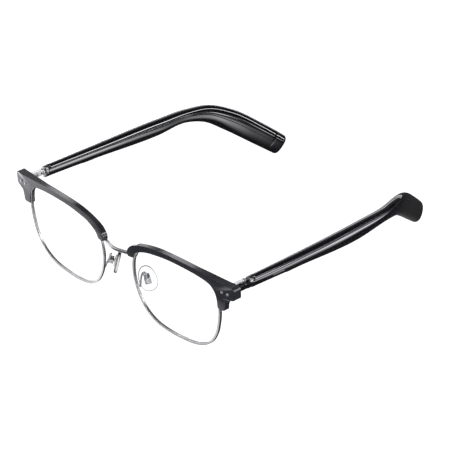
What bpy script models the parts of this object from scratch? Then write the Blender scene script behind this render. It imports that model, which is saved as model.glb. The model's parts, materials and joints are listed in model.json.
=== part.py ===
"""Smart glasses: browline front with metal eyewires, two folding temples that hold the electronics.

Everything is laid out in the wearer's frame, in millimetres: x = 0 is the plane of symmetry and +x is
the wearer's left, y runs from the lenses back towards the ears, z is up and the temples are level.
One parent empty then turns the whole pair so that it stands on a table on its eyewires and its tips.
Lengths are scaled to metres when a mesh is written.
"""
import math

import bmesh
import bpy
import numpy as np
from mathutils import Matrix, Vector

MM = 0.001

# ---- front ----
LENS_CENTRE_X = 36.95
LENS_CENTRE_Z = -17.96
RIM_PLANE_Y = 1.26
RIM_PLANE_X = 35.0
WRAP_SLOPE = math.tan(math.radians(2.67))
TILT_SLOPE = math.tan(math.radians(5.42))
# Midline of the left eyewire about the lens centre, outer side first, then over the top.
RIM_OUTLINE = [
    (24.7, 0.0), (25.5, 5.0), (25.6, 9.5), (25.1, 14.4), (23.4, 17.9), (20.2, 20.1), (13.0, 21.2),
    (4.0, 21.55), (-5.0, 21.35), (-13.0, 20.3), (-19.4, 18.9), (-23.9, 16.5), (-26.1, 12.2),
    (-26.95, 6.0), (-26.35, 0.0), (-24.3, -6.6), (-20.4, -12.6), (-14.2, -16.75), (-6.0, -18.3),
    (2.0, -18.3), (9.5, -17.45), (15.5, -15.1), (20.0, -11.3), (23.2, -5.6),
]
RIM_POINTS = 44
RIM_FINE_POINTS = 720
WIRE_RADIAL = 1.1
WIRE_DEPTH = 1.5
WIRE_CHAMFER = 0.3
LENS_GAP = 0.06
LENS_EDGE = 1.4
LENS_BULGE = 1.3
LENS_RINGS = (1.0, 0.62, 0.3)

# ---- brow bar: (angle about the lens centre of the inner edge, outer edge x, outer edge z) ----
BROW_STATIONS = [
    (152.6, 8.6, -5.1), (150.5, 8.0, -3.8), (147.5, 8.2, -2.1), (144.0, 9.2, -0.3), (140.0, 11.2, 1.5),
    (134.8, 14.9, 3.1), (126.0, 20.5, 4.5), (114.5, 26.6, 5.4), (101.0, 32.6, 5.75), (90.0, 36.95, 5.85),
    (79.6, 41.0, 5.9), (70.0, 45.0, 5.9), (61.5, 49.0, 5.85), (53.5, 53.5, 5.65), (48.0, 57.5, 5.4),
    (44.0, 61.5, 5.1), (40.5, 65.5, 4.85), (37.5, 69.0, 4.65), (35.5, 71.2, 4.45), (34.0, 71.8, 3.8),
    (32.5, 71.9, 1.8), (31.0, 71.7, -1.5), (29.5, 69.7, -2.1), (27.5, 67.8, -3.0), (25.5, 67.0, -4.4),
    (23.0, 66.7, -6.2), (21.0, 66.5, -8.1), (19.6, 65.4, -9.1),
]
BROW_INSET = 0.35
BROW_FRONT = -1.2
BROW_BACK = 1.6
BROW_BACK_END = 1.3
BROW_FRONT_END = -0.5
BROW_FRONT_EASE_X = (8.0, 20.0)
BROW_BACK_EASE_X = (9.0, 26.0)
END_PIECE_GROWTH = 0.1
END_PIECE_FROM_X = 50.0
END_PIECE_GROWTH_Z = (-6.5, -1.5)
BROW_CHAMFER = 0.3
GROOVE_HALF = 0.82
GROOVE_DEEP = 1.02
END_PIECE_SWEEP_X = 66.0
END_PIECE_SWEEP = 0.035
BROW_ORIGIN = (40.0, 4.5)

# ---- bridge ----
BRIDGE_END_X = 10.35
BRIDGE_HEIGHT = 1.7
BRIDGE_DEPTH = 1.3
BRIDGE_Z = -4.6
BRIDGE_ARCH = 0.25
BRIDGE_Y = -0.95
BRIDGE_BOW = 2.6
BRIDGE_CHAMFER = 0.35
BRIDGE_NOTCH_GAP = 0.08
BRIDGE_NOTCH_REACH = 0.3
BRIDGE_STATIONS = 12

# ---- rivets and hinge ----
RIVET_X = (68.4, 65.2)
RIVET_Z = (0.62, 0.53)
RIVET_RADIUS = 0.8
RIVET_PROUD = 0.12
RIVET_GAP = 0.03
RIVET_HOLE_AHEAD = 2.0
RIVET_HOLE_END_Y = 6.5
RIVET_SHORT_OF_LEAF = 0.15
LEAF_PLATE_X = 66.8
LEAF_PLATE_Y = 4.65
LEAF_PLATE_Z = 0.6
LEAF_PLATE_WIDTH = 5.6
LEAF_PLATE_THICK = 0.7
LEAF_PLATE_HEIGHT = 3.4
PIN_X = 66.8
PIN_Y = 11.6
BLOCK_Z0 = 0.5
BLOCK_Z1 = 3.2
KNUCKLE_RADIUS = 0.86
KNUCKLE_SIDES = 20
PIN_RADIUS = 0.42
PIN_SIDES = 16
PIN_CLEARANCE = 0.05
PIN_SUNK = 0.1
HEAD_RADIUS = 0.6
HEAD_SEAT_Z = 2.75
HEAD_LIFT = 0.03
HEAD_PROUD = 0.12
FORK_SLOT_WIDTH = 4.0
FORK_SLOT_LENGTH = 2.6
FORK_SLOT_Z = (1.1, 2.2)
FORK_GAP = 0.04
# Small screw in the inner side of the hinge block; spans are depths into that side.
LEAF_SCREW_Y = 7.9
LEAF_SCREW_Z = 1.6
LEAF_SCREW_RADIUS = 0.58
LEAF_SCREW_SPAN = (0.12, 0.66)
LEAF_SCREW_SEAT_SPAN = (-0.5, 0.7)
SLIDE_TRAVEL = 0.8
SHANK_WIDTH = 1.1
SHANK_START_Y = 11.9
SHANK_END_Y = 16.6
SHOULDER_END_Y = 17.8
ROD_RADIUS = 0.3
ROD_SIDES = 10
ROD_OVERLAP = 0.3
ROD_HEAD_RADIUS = 0.62
ROD_HEAD_LENGTH = 0.7
ROD_END_Y = 25.6
SPRING_WIRE_RADIUS = 0.11
SPRING_COIL_RADIUS = 0.47
SPRING_TURNS = 6
SPRING_POINTS_PER_TURN = 8
SPRING_FRONT_GAP = 0.15
SPRING_BACK_GAP = 0.16
# How far a cutting tool runs past the faces it opens.
THROUGH = 1.0

# ---- nose pads ----
PAD_SCREW = (12.0, 6.0, -19.5)
PAD_LONG = (0.35, 0.10, -0.93)
PAD_FACE = (-0.72, 0.66, -0.20)
PAD_LENGTH = 12.6
PAD_WIDTH = 8.5
PAD_THICK = 1.9
PAD_OFFSET = 2.75
PAD_DROP = 0.2
PAD_TAPER = 0.1
PAD_SIDES = 20
# (share of the full outline, height as a share of half the thickness) from the plate side outwards
PAD_LAYERS = ((0.62, -0.95), (0.93, -0.55), (1.0, 0.0), (0.93, 0.5), (0.66, 0.86))
# Sizes below run along the pad's long axis, out towards the nose, and across.
PAD_BOX_SIZE = (2.6, 2.6, 2.8)
PAD_BOX_OUT = -0.4
PAD_BOX_BEVEL = 0.15
PAD_SLOT_SIZE = (4.0, 3.0, 0.9)
PAD_SLOT_OUT = 0.5
PAD_BORE_RADIUS = 0.34
PAD_SCREW_RADIUS = 0.3
PAD_SCREW_HALF = 1.55
PAD_SCREW_SIDES = 12
PAD_PLATE_SIZE = (5.2, 0.4, 2.8)
PAD_PLATE_GAP = 0.28
PAD_TAB_LENGTH = 1.3
PAD_TAB_SINK = 0.1
PAD_TAB_THICK = 0.7
PAD_KNUCKLE_RADIUS = 0.65
PAD_ARM_RADIUS = 0.5
PAD_ARM_STEPS = 24
PAD_ARM_SIDE_ROUNDING = 2
# The arm rises from the back of the eyewire, loops over and comes down into the box.
PAD_ARM_POINTS = (
    (11.75, 1.62, -21.4), (11.35, 2.3, -19.4), (10.8, 3.2, -17.2), (10.7, 4.2, -15.8), (11.5, 4.9, -15.6),
)
PAD_ARM_ABOVE_BOX = -2.6
PAD_ARM_AT_BOX = -1.36
PAD_ARM_OUT = -1.25
PAD_ARM_STRAIGHT = 0.12

# ---- temple: (y, x, z, width, height) of its section along the centreline ----
TEMPLE_STATIONS = [
    (6.0, 67.4, 1.05, 3.5, 5.8), (14.5, 67.45, 1.0, 3.6, 5.9), (45.0, 67.5, 0.5, 4.6, 6.8),
    (84.0, 66.9, -0.05, 5.5, 8.4), (103.0, 65.6, 0.6, 5.3, 6.9), (115.0, 62.3, -1.05, 5.4, 9.2),
    (124.5, 57.95, -5.75, 5.8, 11.2), (138.0, 51.4, -15.2, 6.05, 11.4), (150.0, 45.75, -24.2, 6.4, 10.6),
]
SECTION_POWER = 2.33
COVER_FRONT_Y = 5.9
COLLAR_FRONT_Y = 13.1
SHELL_FRONT_Y = 15.2
CAVITY_START_Y = 27.0
CAVITY_END_Y = 142.0
CAP_START_Y = 145.2
SEAM_GAP = 0.05
# (y, height of the shell seam above the section centre on the inner side, on the outer side)
SEAM_STATIONS = [
    (6.0, 1.5, 0.7), (37.0, 1.45, 1.15), (57.0, 1.5, 1.9), (75.0, 1.65, 2.9), (86.0, 1.65, 3.2),
    (99.0, 0.8, 2.5), (113.0, 0.6, 2.3), (150.0, 0.6, 2.2),
]
COVER_WIDTH = 1.35
COVER_HEIGHT = 0.7
COVER_LIFT = 0.22
COVER_GAP = 0.1
COVER_FRONT_SHARE = 0.9
COVER_FRONT_Y_END = 6.0
WALL = 0.95
FLOOR_SHARE = 0.84
FLOOR_LIFT = 0.75
SOLID_DROP = 0.12
RAMP_LENGTH = 0.5
SHELL_STEPS_Y = (*np.linspace(14.4, 96.0, 9), *np.linspace(101.0, 128.0, 9), 134.0, 140.0)
STEP_CLEAR_OF_END = 0.4
STEP_CLEAR_OF_EXTRA = 0.45
UPPER_SHELL_STEPS = 8
LOWER_SHELL_STEPS = 10
COLLAR_STEPS = 13
COLLAR_CHAMFER = 0.25
COLLAR_FRONT_SHARE = 0.93
COLLAR_BACK_GAP = 0.08
COLLAR_TOP = 0.1
COLLAR_BOTTOM_SHARE = 0.985
CAP_SIDES = 18
CAP_GAP = 0.08
# (distance before the tip, share of the full section) of the rounded end
CAP_ROUNDING = ((1.6, 1.0), (0.7, 0.965), (0.2, 0.89), (0.0, 0.8))
TANGENT_STEP = 0.2

# ---- openings behind the hinge: centre y, (width, length, height) ----
SHANK_WAY = (14.2, (1.3, 5.0, 1.2))
ROD_WAY = (17.2, (0.8, 2.2, 0.8))
SPRING_WAY = (22.05, (1.5, 8.5, 1.5))

# ---- inside the temple: y, offset outward and up from the centreline, (width, length, height) ----
BOARD = (47.0, 0.45, -0.3, (0.8, 30.0, 2.1))
SPEAKER = (84.0, 0.0, -0.4, (3.0, 12.0, 3.0))
BATTERY = (133.5, 0.0, -1.9, (3.6, 17.0, 3.8))
BATTERY_BEVEL = 0.4
TOUCH_STRIP_Y = 66.0
TOUCH_STRIP_SIZE = (0.2, 20.0, 2.2)
TOUCH_STRIP_GAP = 0.35
TOUCH_STRIP_UP = -0.2
# ---- in its underside: y, offset outward, height above the underside, (width, length, height) ----
SPEAKER_VENT = (84.0, -0.1, 0.5, (1.3, 9.0, 2.4))
SPEAKER_GRILLE = (84.0, -0.1, 0.65, (1.2, 8.9, 0.7))
PORT_POCKET = (40.0, 0.0, 0.05, (2.3, 7.1, 1.4))
CHARGE_PORT = (40.0, 0.0, 0.42, (2.2, 7.0, 0.6))

# ---- microphone, light pipe and badge ----
SMALL_SIDES = 10
MIC_Y = 50.1
MIC_OUT = 0.3
MIC_RADIUS = 0.36
MIC_TOP_DEPTH = 0.5
MIC_BOTTOM_DEPTH = 1.36
MIC_HOLE_RADIUS = 0.4
MIC_HOLE_DEPTH = 1.4
PIPE_Y = 33.0
PIPE_UP = -0.6
PIPE_RADIUS = 0.41
PIPE_SUNK = 0.05
PIPE_PAST_WALL = 0.2
PIPE_HOLE_RADIUS = 0.45
PIPE_HOLE_PAST_WALL = 0.4
BADGE_Y = 30.6
BADGE_UP = -0.7
BADGE_SIZE = (0.3, 7.2, 1.1)
BADGE_SUNK = 0.08
BADGE_RECESS_SIZE = (0.5, 7.3, 1.2)

REST_TILT = math.radians(3.04)

parts = bpy.data.collections.new("smart_glasses")
cutters = bpy.data.collections.new("cutters")


def clear_scene():
    for obj in list(bpy.data.objects):
        bpy.data.objects.remove(obj, do_unlink=True)
    for coll in (parts, cutters):
        bpy.context.scene.collection.children.link(coll)
    cutters.hide_render = True


def material(name, color, metallic, roughness, transmission=0.0):
    mat = bpy.data.materials.new(name)
    mat.use_nodes = True
    shader = mat.node_tree.nodes["Principled BSDF"]
    shader.inputs["Base Color"].default_value = (*color, 1.0)
    shader.inputs["Metallic"].default_value = metallic
    shader.inputs["Roughness"].default_value = roughness
    shader.inputs["Transmission Weight"].default_value = transmission
    mat.diffuse_color = (*color, 1.0)
    return mat


# ---------------------------------------------------------------- placing
class Group:
    """An empty at a joint (or at the origin) that carries the pieces of one rigid body."""

    def __init__(self, name, origin, parent=None):
        self.origin = Vector(origin)
        self.empty = bpy.data.objects.new(name, None)
        self.empty.empty_display_size = 0.005
        parts.objects.link(self.empty)
        base = Vector((0.0, 0.0, 0.0))
        if parent is not None:
            self.empty.parent = parent.empty
            base = parent.origin
        self.empty.location = (self.origin - base) * MM


def add_object(name, mesh, mat, group, origin, smooth=False, cutter=False):
    obj = bpy.data.objects.new(name, mesh)
    (cutters if cutter else parts).objects.link(obj)
    obj.parent = group.empty
    obj.location = (Vector(origin) - group.origin) * MM
    if mat is not None:
        mesh.materials.append(mat)
    for poly in mesh.polygons:
        poly.use_smooth = smooth
    if cutter:
        obj.hide_render = True
        obj.display_type = "WIRE"
    return obj


def finish_mesh(name, bm, origin):
    """Turns a bmesh in wearer's-frame millimetres into a mesh in metres about its origin."""
    bmesh.ops.recalc_face_normals(bm, faces=bm.faces[:])
    bmesh.ops.transform(bm, matrix=Matrix.Translation(-Vector(origin)), verts=bm.verts[:])
    bmesh.ops.transform(bm, matrix=Matrix.Scale(MM, 4), verts=bm.verts[:])
    mesh = bpy.data.meshes.new(name)
    bm.to_mesh(mesh)
    bm.free()
    return mesh


def loft(name, rings, mat, group, origin, closed=False, smooth=False, cutter=False):
    """Skins equal rings of points; open lofts are capped."""
    bm = bmesh.new()
    rows = [[bm.verts.new(Vector(p)) for p in ring] for ring in rings]
    count = len(rings[0])
    pairs = list(zip(rows[:-1], rows[1:]))
    if closed:
        pairs.append((rows[-1], rows[0]))
    for low, high in pairs:
        for i in range(count):
            j = (i + 1) % count
            bm.faces.new((low[i], low[j], high[j], high[i]))
    if not closed:
        bm.faces.new(rows[0])
        bm.faces.new(rows[-1])
    return add_object(name, finish_mesh(name, bm, origin), mat, group, origin, smooth, cutter)


def frame_matrix(centre, axes):
    """Matrix whose columns are the three given axes, at the given centre."""
    mat = Matrix.Identity(4)
    for col, axis in enumerate(axes):
        unit = Vector(axis).normalized()
        for row in range(3):
            mat[row][col] = unit[row]
    return Matrix.Translation(Vector(centre)) @ mat


WORLD_AXES = ((1, 0, 0), (0, 1, 0), (0, 0, 1))


def box(name, centre, size, mat, group, axes=WORLD_AXES, bevel=0.0, cutter=False):
    bm = bmesh.new()
    bmesh.ops.create_cube(bm, size=1.0)
    bmesh.ops.scale(bm, vec=Vector(size), verts=bm.verts[:])
    bmesh.ops.transform(bm, matrix=frame_matrix(centre, axes), verts=bm.verts[:])
    obj = add_object(name, finish_mesh(name, bm, centre), mat, group, centre, cutter=cutter)
    if bevel:
        add_bevel(obj, bevel)
    return obj


def add_bevel(obj, width):
    mod = obj.modifiers.new("edges", "BEVEL")
    mod.width = width * MM
    mod.segments = 1
    mod.limit_method = "ANGLE"
    mod.angle_limit = math.radians(50)


def cylinder(name, start, end, radius, mat, group, sides=14, end_radius=None, cutter=False):
    start = Vector(start)
    end = Vector(end)
    axis = end - start
    bm = bmesh.new()
    last = radius if end_radius is None else end_radius
    bmesh.ops.create_cone(bm, cap_ends=True, segments=sides, radius1=radius, radius2=last, depth=axis.length)
    turn = axis.to_track_quat("Z", "Y").to_matrix().to_4x4()
    centre = (start + end) / 2
    bmesh.ops.transform(bm, matrix=Matrix.Translation(centre) @ turn, verts=bm.verts[:])
    obj = add_object(name, finish_mesh(name, bm, centre), mat, group, centre, cutter=cutter)
    if not cutter:
        for poly in obj.data.polygons:
            poly.use_smooth = len(poly.vertices) == 4
    return obj


def cut(obj, *tools):
    for tool in tools:
        mod = obj.modifiers.new("cut_" + tool.name, "BOOLEAN")
        mod.operation = "DIFFERENCE"
        mod.solver = "EXACT"
        mod.object = tool


def join_on(obj, *tools):
    for tool in tools:
        mod = obj.modifiers.new("join_" + tool.name, "BOOLEAN")
        mod.operation = "UNION"
        mod.solver = "EXACT"
        mod.object = tool


def wire_mesh(name, path, radius, rounding, origin):
    """Round wire along a path in wearer's-frame millimetres, with filled caps."""
    curve = bpy.data.curves.new(name + "_path", "CURVE")
    curve.dimensions = "3D"
    curve.bevel_depth = radius * MM
    curve.bevel_resolution = rounding
    curve.use_fill_caps = True
    spline = curve.splines.new("POLY")
    spline.points.add(len(path) - 1)
    for spline_point, place in zip(spline.points, path):
        spline_point.co = (*((Vector(place) - Vector(origin)) * MM), 1.0)
    holder = bpy.data.objects.new(name + "_holder", curve)
    bpy.context.scene.collection.objects.link(holder)
    mesh = bpy.data.meshes.new_from_object(holder)
    bpy.data.objects.remove(holder, do_unlink=True)
    bm = bmesh.new()
    bm.from_mesh(mesh)
    bmesh.ops.remove_doubles(bm, verts=bm.verts[:], dist=1e-7)
    bmesh.ops.recalc_face_normals(bm, faces=bm.faces[:])
    bm.to_mesh(mesh)
    bm.free()
    return mesh


# ---------------------------------------------------------------- splines
def hermite_path(keys, values, at):
    """Smooth curve through values (one row per key), with finite-difference slopes."""
    keys = np.asarray(keys, float)
    values = np.asarray(values, float)
    slopes = np.gradient(values, keys, axis=0)
    i = int(np.clip(np.searchsorted(keys, at) - 1, 0, len(keys) - 2))
    span = keys[i + 1] - keys[i]
    u = (at - keys[i]) / span
    h00 = 2 * u**3 - 3 * u**2 + 1
    h10 = u**3 - 2 * u**2 + u
    h01 = -2 * u**3 + 3 * u**2
    h11 = u**3 - u**2
    return h00 * values[i] + h10 * span * slopes[i] + h01 * values[i + 1] + h11 * span * slopes[i + 1]


def closed_outline(points, count):
    """Evenly spaced points on a smooth closed curve through the control points."""
    pts = np.asarray(points, float)
    dense = []
    n = len(pts)
    for i in range(n):
        p0, p1, p2, p3 = (pts[(i + k - 1) % n] for k in range(4))
        for u in np.linspace(0, 1, 16, endpoint=False):
            a = 2 * p1
            b = p2 - p0
            c = 2 * p0 - 5 * p1 + 4 * p2 - p3
            d = -p0 + 3 * p1 - 3 * p2 + p3
            dense.append(0.5 * (a + b * u + c * u**2 + d * u**3))
    dense = np.array(dense + [dense[0]])
    steps = np.linalg.norm(np.diff(dense, axis=0), axis=1)
    length = np.concatenate([[0.0], np.cumsum(steps)])
    at = np.linspace(0, length[-1], count, endpoint=False)
    return np.stack([np.interp(at, length, dense[:, k]) for k in range(2)], axis=1)


def outward_normals(outline):
    ahead = np.roll(outline, -1, axis=0)
    behind = np.roll(outline, 1, axis=0)
    tangent = ahead - behind
    tangent /= np.linalg.norm(tangent, axis=1)[:, None]
    return np.stack([tangent[:, 1], -tangent[:, 0]], axis=1)


# ---------------------------------------------------------------- front surface
def rim_y(x, z):
    """Depth of the middle of the eyewire: the front wraps a little and leans back at the bottom."""
    return RIM_PLANE_Y + (x - RIM_PLANE_X) * WRAP_SLOPE - (z - LENS_CENTRE_Z) * TILT_SLOPE


def front_point(side, x, z, depth=0.0):
    return (side * x, rim_y(x, z) + depth, z)


RIM_MIDLINE = closed_outline(RIM_OUTLINE, RIM_POINTS) + np.array([LENS_CENTRE_X, LENS_CENTRE_Z])
RIM_NORMALS = outward_normals(RIM_MIDLINE)
RIM_FINE = closed_outline(RIM_OUTLINE, RIM_FINE_POINTS) + np.array([LENS_CENTRE_X, LENS_CENTRE_Z])
RIM_FINE_NORMALS = outward_normals(RIM_FINE)
RIM_FINE_ANGLES = np.degrees(np.arctan2(RIM_FINE[:, 1] - LENS_CENTRE_Z, RIM_FINE[:, 0] - LENS_CENTRE_X))


def rim_at_angle(angle):
    nearest = int(np.argmin(np.abs(RIM_FINE_ANGLES - angle)))
    return RIM_FINE[nearest], RIM_FINE_NORMALS[nearest]


def build_rim(side, label, mats, group):
    """Flattened wire: radial width WIRE_RADIAL, depth WIRE_DEPTH, with chamfered corners."""
    half_r = WIRE_RADIAL / 2
    half_d = WIRE_DEPTH / 2
    soft = WIRE_CHAMFER
    profile = [
        (half_r, half_d - soft), (half_r - soft, half_d), (soft - half_r, half_d), (-half_r, half_d - soft),
        (-half_r, soft - half_d), (soft - half_r, -half_d), (half_r - soft, -half_d),
        (half_r, soft - half_d),
    ]
    rings = []
    for point, normal in zip(RIM_MIDLINE, RIM_NORMALS):
        ring = []
        for radial, depth in profile:
            x, z = point + normal * radial
            ring.append(front_point(side, x, z, depth))
        rings.append(ring)
    centre = front_point(side, LENS_CENTRE_X, LENS_CENTRE_Z)
    loft(label + "_rim", rings, mats["steel"], group, centre, closed=True, smooth=True)


def build_lens(side, label, mats, group):
    """Meniscus lens: both faces bulge forwards, the edge fits inside the eyewire."""
    edge = RIM_MIDLINE - RIM_NORMALS * (WIRE_RADIAL / 2 + LENS_GAP)
    middle = np.array([LENS_CENTRE_X, LENS_CENTRE_Z])
    bm = bmesh.new()

    def face_rings(face_depth):
        rows = []
        for scale in LENS_RINGS:
            bulge = LENS_BULGE * (1 - scale**2)
            row = []
            for x, z in middle + (edge - middle) * scale:
                row.append(bm.verts.new(Vector(front_point(side, x, z, face_depth - bulge))))
            rows.append(row)
        pole = bm.verts.new(Vector(front_point(side, *middle, face_depth - LENS_BULGE)))
        count = len(edge)
        for outer, inner in zip(rows[:-1], rows[1:]):
            for i in range(count):
                j = (i + 1) % count
                bm.faces.new((outer[i], outer[j], inner[j], inner[i]))
        for i in range(count):
            bm.faces.new((rows[-1][i], rows[-1][(i + 1) % count], pole))
        return rows[0]

    front_edge = face_rings(-LENS_EDGE / 2)
    back_edge = face_rings(LENS_EDGE / 2)
    for i in range(len(edge)):
        j = (i + 1) % len(edge)
        bm.faces.new((front_edge[i], front_edge[j], back_edge[j], back_edge[i]))
    centre = front_point(side, LENS_CENTRE_X, LENS_CENTRE_Z)
    name = label + "_lens"
    add_object(name, finish_mesh(name, bm, centre), mats["lens"], group, centre, smooth=True)


def ease(value, low, high):
    u = min(max((value - low) / (high - low), 0.0), 1.0)
    return u * u * (3 - 2 * u)


def brow_depths(x, z):
    """Front and back depth of the brow at its outer edge, measured from the eyewire's mid-plane."""
    front = BROW_FRONT + END_PIECE_SWEEP * max(x - END_PIECE_SWEEP_X, 0.0) ** 2
    front += BROW_FRONT_END * (1 - ease(x, *BROW_FRONT_EASE_X))
    growth = END_PIECE_GROWTH * max(x - END_PIECE_FROM_X, 0.0) * ease(z, *END_PIECE_GROWTH_Z)
    return front, brow_inner_back(x) + growth


def brow_inner_back(x):
    return BROW_BACK_END + (BROW_BACK - BROW_BACK_END) * ease(x, *BROW_BACK_EASE_X)


def build_brow(side, label, mats, group, notch):
    """Bar over the eyewire: a C section whose groove holds the wire, widening into the end piece."""
    c = BROW_CHAMFER
    rings = []
    for angle, outer_x, outer_z in BROW_STATIONS:
        mid, normal = rim_at_angle(angle)
        inner = mid - normal * BROW_INSET
        outer = np.array([outer_x, outer_z])
        along = (outer - inner) / np.linalg.norm(outer - inner)
        front, back = brow_depths(outer_x, outer_z)
        inner_front = min(BROW_FRONT, front)
        inner_back = brow_inner_back(outer_x)
        groove = inner + normal * GROOVE_DEEP
        flat = [
            (inner, inner_front + c * 0.5), (inner + along * c * 0.5, inner_front),
            (outer - along * c, front),
            (outer, front + c), (outer, back - c), (outer - along * c, back),
            (inner + along * c, inner_back),
            (inner, inner_back - c), (inner, GROOVE_HALF), (groove, GROOVE_HALF), (groove, -GROOVE_HALF),
            (inner, -GROOVE_HALF),
        ]
        rings.append([front_point(side, p[0], p[1], depth) for p, depth in flat])
    origin = front_point(side, *BROW_ORIGIN)
    brow = loft(label + "_brow", rings, mats["slate"], group, origin)
    cut(brow, notch)
    for order, x, z in zip(("outer", "inner"), RIVET_X, RIVET_Z):
        front_y = front_face_y(x, z)
        hole = cylinder(
            label + "_rivet_hole_" + order, (side * x, front_y - RIVET_HOLE_AHEAD, z),
            (side * x, RIVET_HOLE_END_Y, z), RIVET_RADIUS + RIVET_GAP, None, group, cutter=True,
        )
        cut(brow, hole)
        end_y = leaf_plate_y(x, z) - LEAF_PLATE_THICK / 2 - RIVET_SHORT_OF_LEAF
        cylinder(
            label + "_rivet_" + order, (side * x, front_y - RIVET_PROUD, z), (side * x, end_y, z),
            RIVET_RADIUS, mats["steel"], group,
        )


def front_face_y(x, z):
    return rim_y(x, z) + brow_depths(x, z)[0]


def bridge_rings(grow, first, last):
    """Sections of the bridge bar between two x positions, enlarged all round by grow."""
    half_h = BRIDGE_HEIGHT / 2 + grow
    half_d = BRIDGE_DEPTH / 2 + grow
    soft = BRIDGE_CHAMFER
    profile = [
        (half_d, half_h - soft), (half_d - soft, half_h), (soft - half_d, half_h), (-half_d, half_h - soft),
        (-half_d, soft - half_h), (soft - half_d, -half_h), (half_d - soft, -half_h),
        (half_d, soft - half_h),
    ]
    rings = []
    for x in np.linspace(first, last, BRIDGE_STATIONS + 1):
        rise = math.cos(math.pi * x / (2 * BRIDGE_END_X)) ** 2
        y = BRIDGE_Y - BRIDGE_BOW * rise
        z = BRIDGE_Z + BRIDGE_ARCH * rise
        rings.append([(x, y + dy, z + dz) for dy, dz in profile])
    return rings


def build_bridge(mats, group):
    centre = (0.0, BRIDGE_Y, BRIDGE_Z)
    loft("bridge", bridge_rings(0.0, -BRIDGE_END_X, BRIDGE_END_X), mats["steel"], group, centre, smooth=True)
    reach = BRIDGE_END_X + BRIDGE_NOTCH_REACH
    rings = bridge_rings(BRIDGE_NOTCH_GAP, -reach, reach)
    return loft("bridge_notch", rings, None, group, centre, cutter=True)


# ---------------------------------------------------------------- hinge
def leaf_axes(side):
    """The leaf's plate lies along the back of the end piece, which slants out and leans with the front."""
    along = Vector((1.0, side * (WRAP_SLOPE + END_PIECE_GROWTH), 0.0)).normalized()
    up = Vector((0.0, -TILT_SLOPE, 1.0))
    up = (up - along * up.dot(along)).normalized()
    return along, up.cross(along), up


def leaf_plate_y(x, z):
    slant = (x - LEAF_PLATE_X) * (WRAP_SLOPE + END_PIECE_GROWTH)
    return LEAF_PLATE_Y + slant - (z - LEAF_PLATE_Z) * TILT_SLOPE


def build_hinge_front(side, label, mats, group):
    """Front leaf: plate riveted behind the end piece, block and fork round the hinge screw."""
    px = side * PIN_X
    mid_z = (BLOCK_Z0 + BLOCK_Z1) / 2
    plate_at = (side * LEAF_PLATE_X, LEAF_PLATE_Y, LEAF_PLATE_Z)
    plate_size = (LEAF_PLATE_WIDTH, LEAF_PLATE_THICK, LEAF_PLATE_HEIGHT)
    leaf = box(label + "_hinge_leaf", plate_at, plate_size, mats["steel"], group, axes=leaf_axes(side))
    body = box(
        label + "_leaf_body", (px, (LEAF_PLATE_Y + PIN_Y) / 2, mid_z),
        (2 * KNUCKLE_RADIUS, PIN_Y - LEAF_PLATE_Y, BLOCK_Z1 - BLOCK_Z0), None, group, cutter=True,
    )
    barrel = cylinder(
        label + "_leaf_barrel", (px, PIN_Y, BLOCK_Z0), (px, PIN_Y, BLOCK_Z1), KNUCKLE_RADIUS, None, group,
        sides=KNUCKLE_SIDES, cutter=True,
    )
    join_on(leaf, body, barrel)
    slot = box(
        label + "_leaf_slot", (px, PIN_Y, sum(FORK_SLOT_Z) / 2),
        (FORK_SLOT_WIDTH, FORK_SLOT_LENGTH, FORK_SLOT_Z[1] - FORK_SLOT_Z[0]), None, group, cutter=True,
    )
    bore = cylinder(
        label + "_leaf_bore", (px, PIN_Y, BLOCK_Z0 - THROUGH), (px, PIN_Y, BLOCK_Z1 + THROUGH),
        PIN_RADIUS + PIN_CLEARANCE, None, group, sides=PIN_SIDES, cutter=True,
    )
    head_seat = cylinder(
        label + "_head_seat", (px, PIN_Y, HEAD_SEAT_Z), (px, PIN_Y, BLOCK_Z1 + THROUGH),
        HEAD_RADIUS + PIN_CLEARANCE, None, group, sides=PIN_SIDES, cutter=True,
    )

    def in_block(depth):
        return (side * (PIN_X - KNUCKLE_RADIUS + depth), LEAF_SCREW_Y, LEAF_SCREW_Z)

    screw_seat = cylinder(
        label + "_leaf_screw_seat", *map(in_block, LEAF_SCREW_SEAT_SPAN), LEAF_SCREW_RADIUS + PIN_CLEARANCE,
        None, group, cutter=True,
    )
    cut(leaf, slot, bore, head_seat, screw_seat)
    cylinder(
        label + "_leaf_screw", *map(in_block, LEAF_SCREW_SPAN), LEAF_SCREW_RADIUS, mats["dark_steel"], group,
    )
    screw = cylinder(
        label + "_hinge_screw", (px, PIN_Y, BLOCK_Z0 - PIN_SUNK), (px, PIN_Y, BLOCK_Z1 - PIN_SUNK),
        PIN_RADIUS, mats["dark_steel"], group, sides=PIN_SIDES,
    )
    head = cylinder(
        label + "_hinge_screw_head", (px, PIN_Y, HEAD_SEAT_Z + HEAD_LIFT),
        (px, PIN_Y, BLOCK_Z1 + HEAD_PROUD), HEAD_RADIUS, None, group, sides=PIN_SIDES, cutter=True,
    )
    join_on(screw, head)


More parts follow.
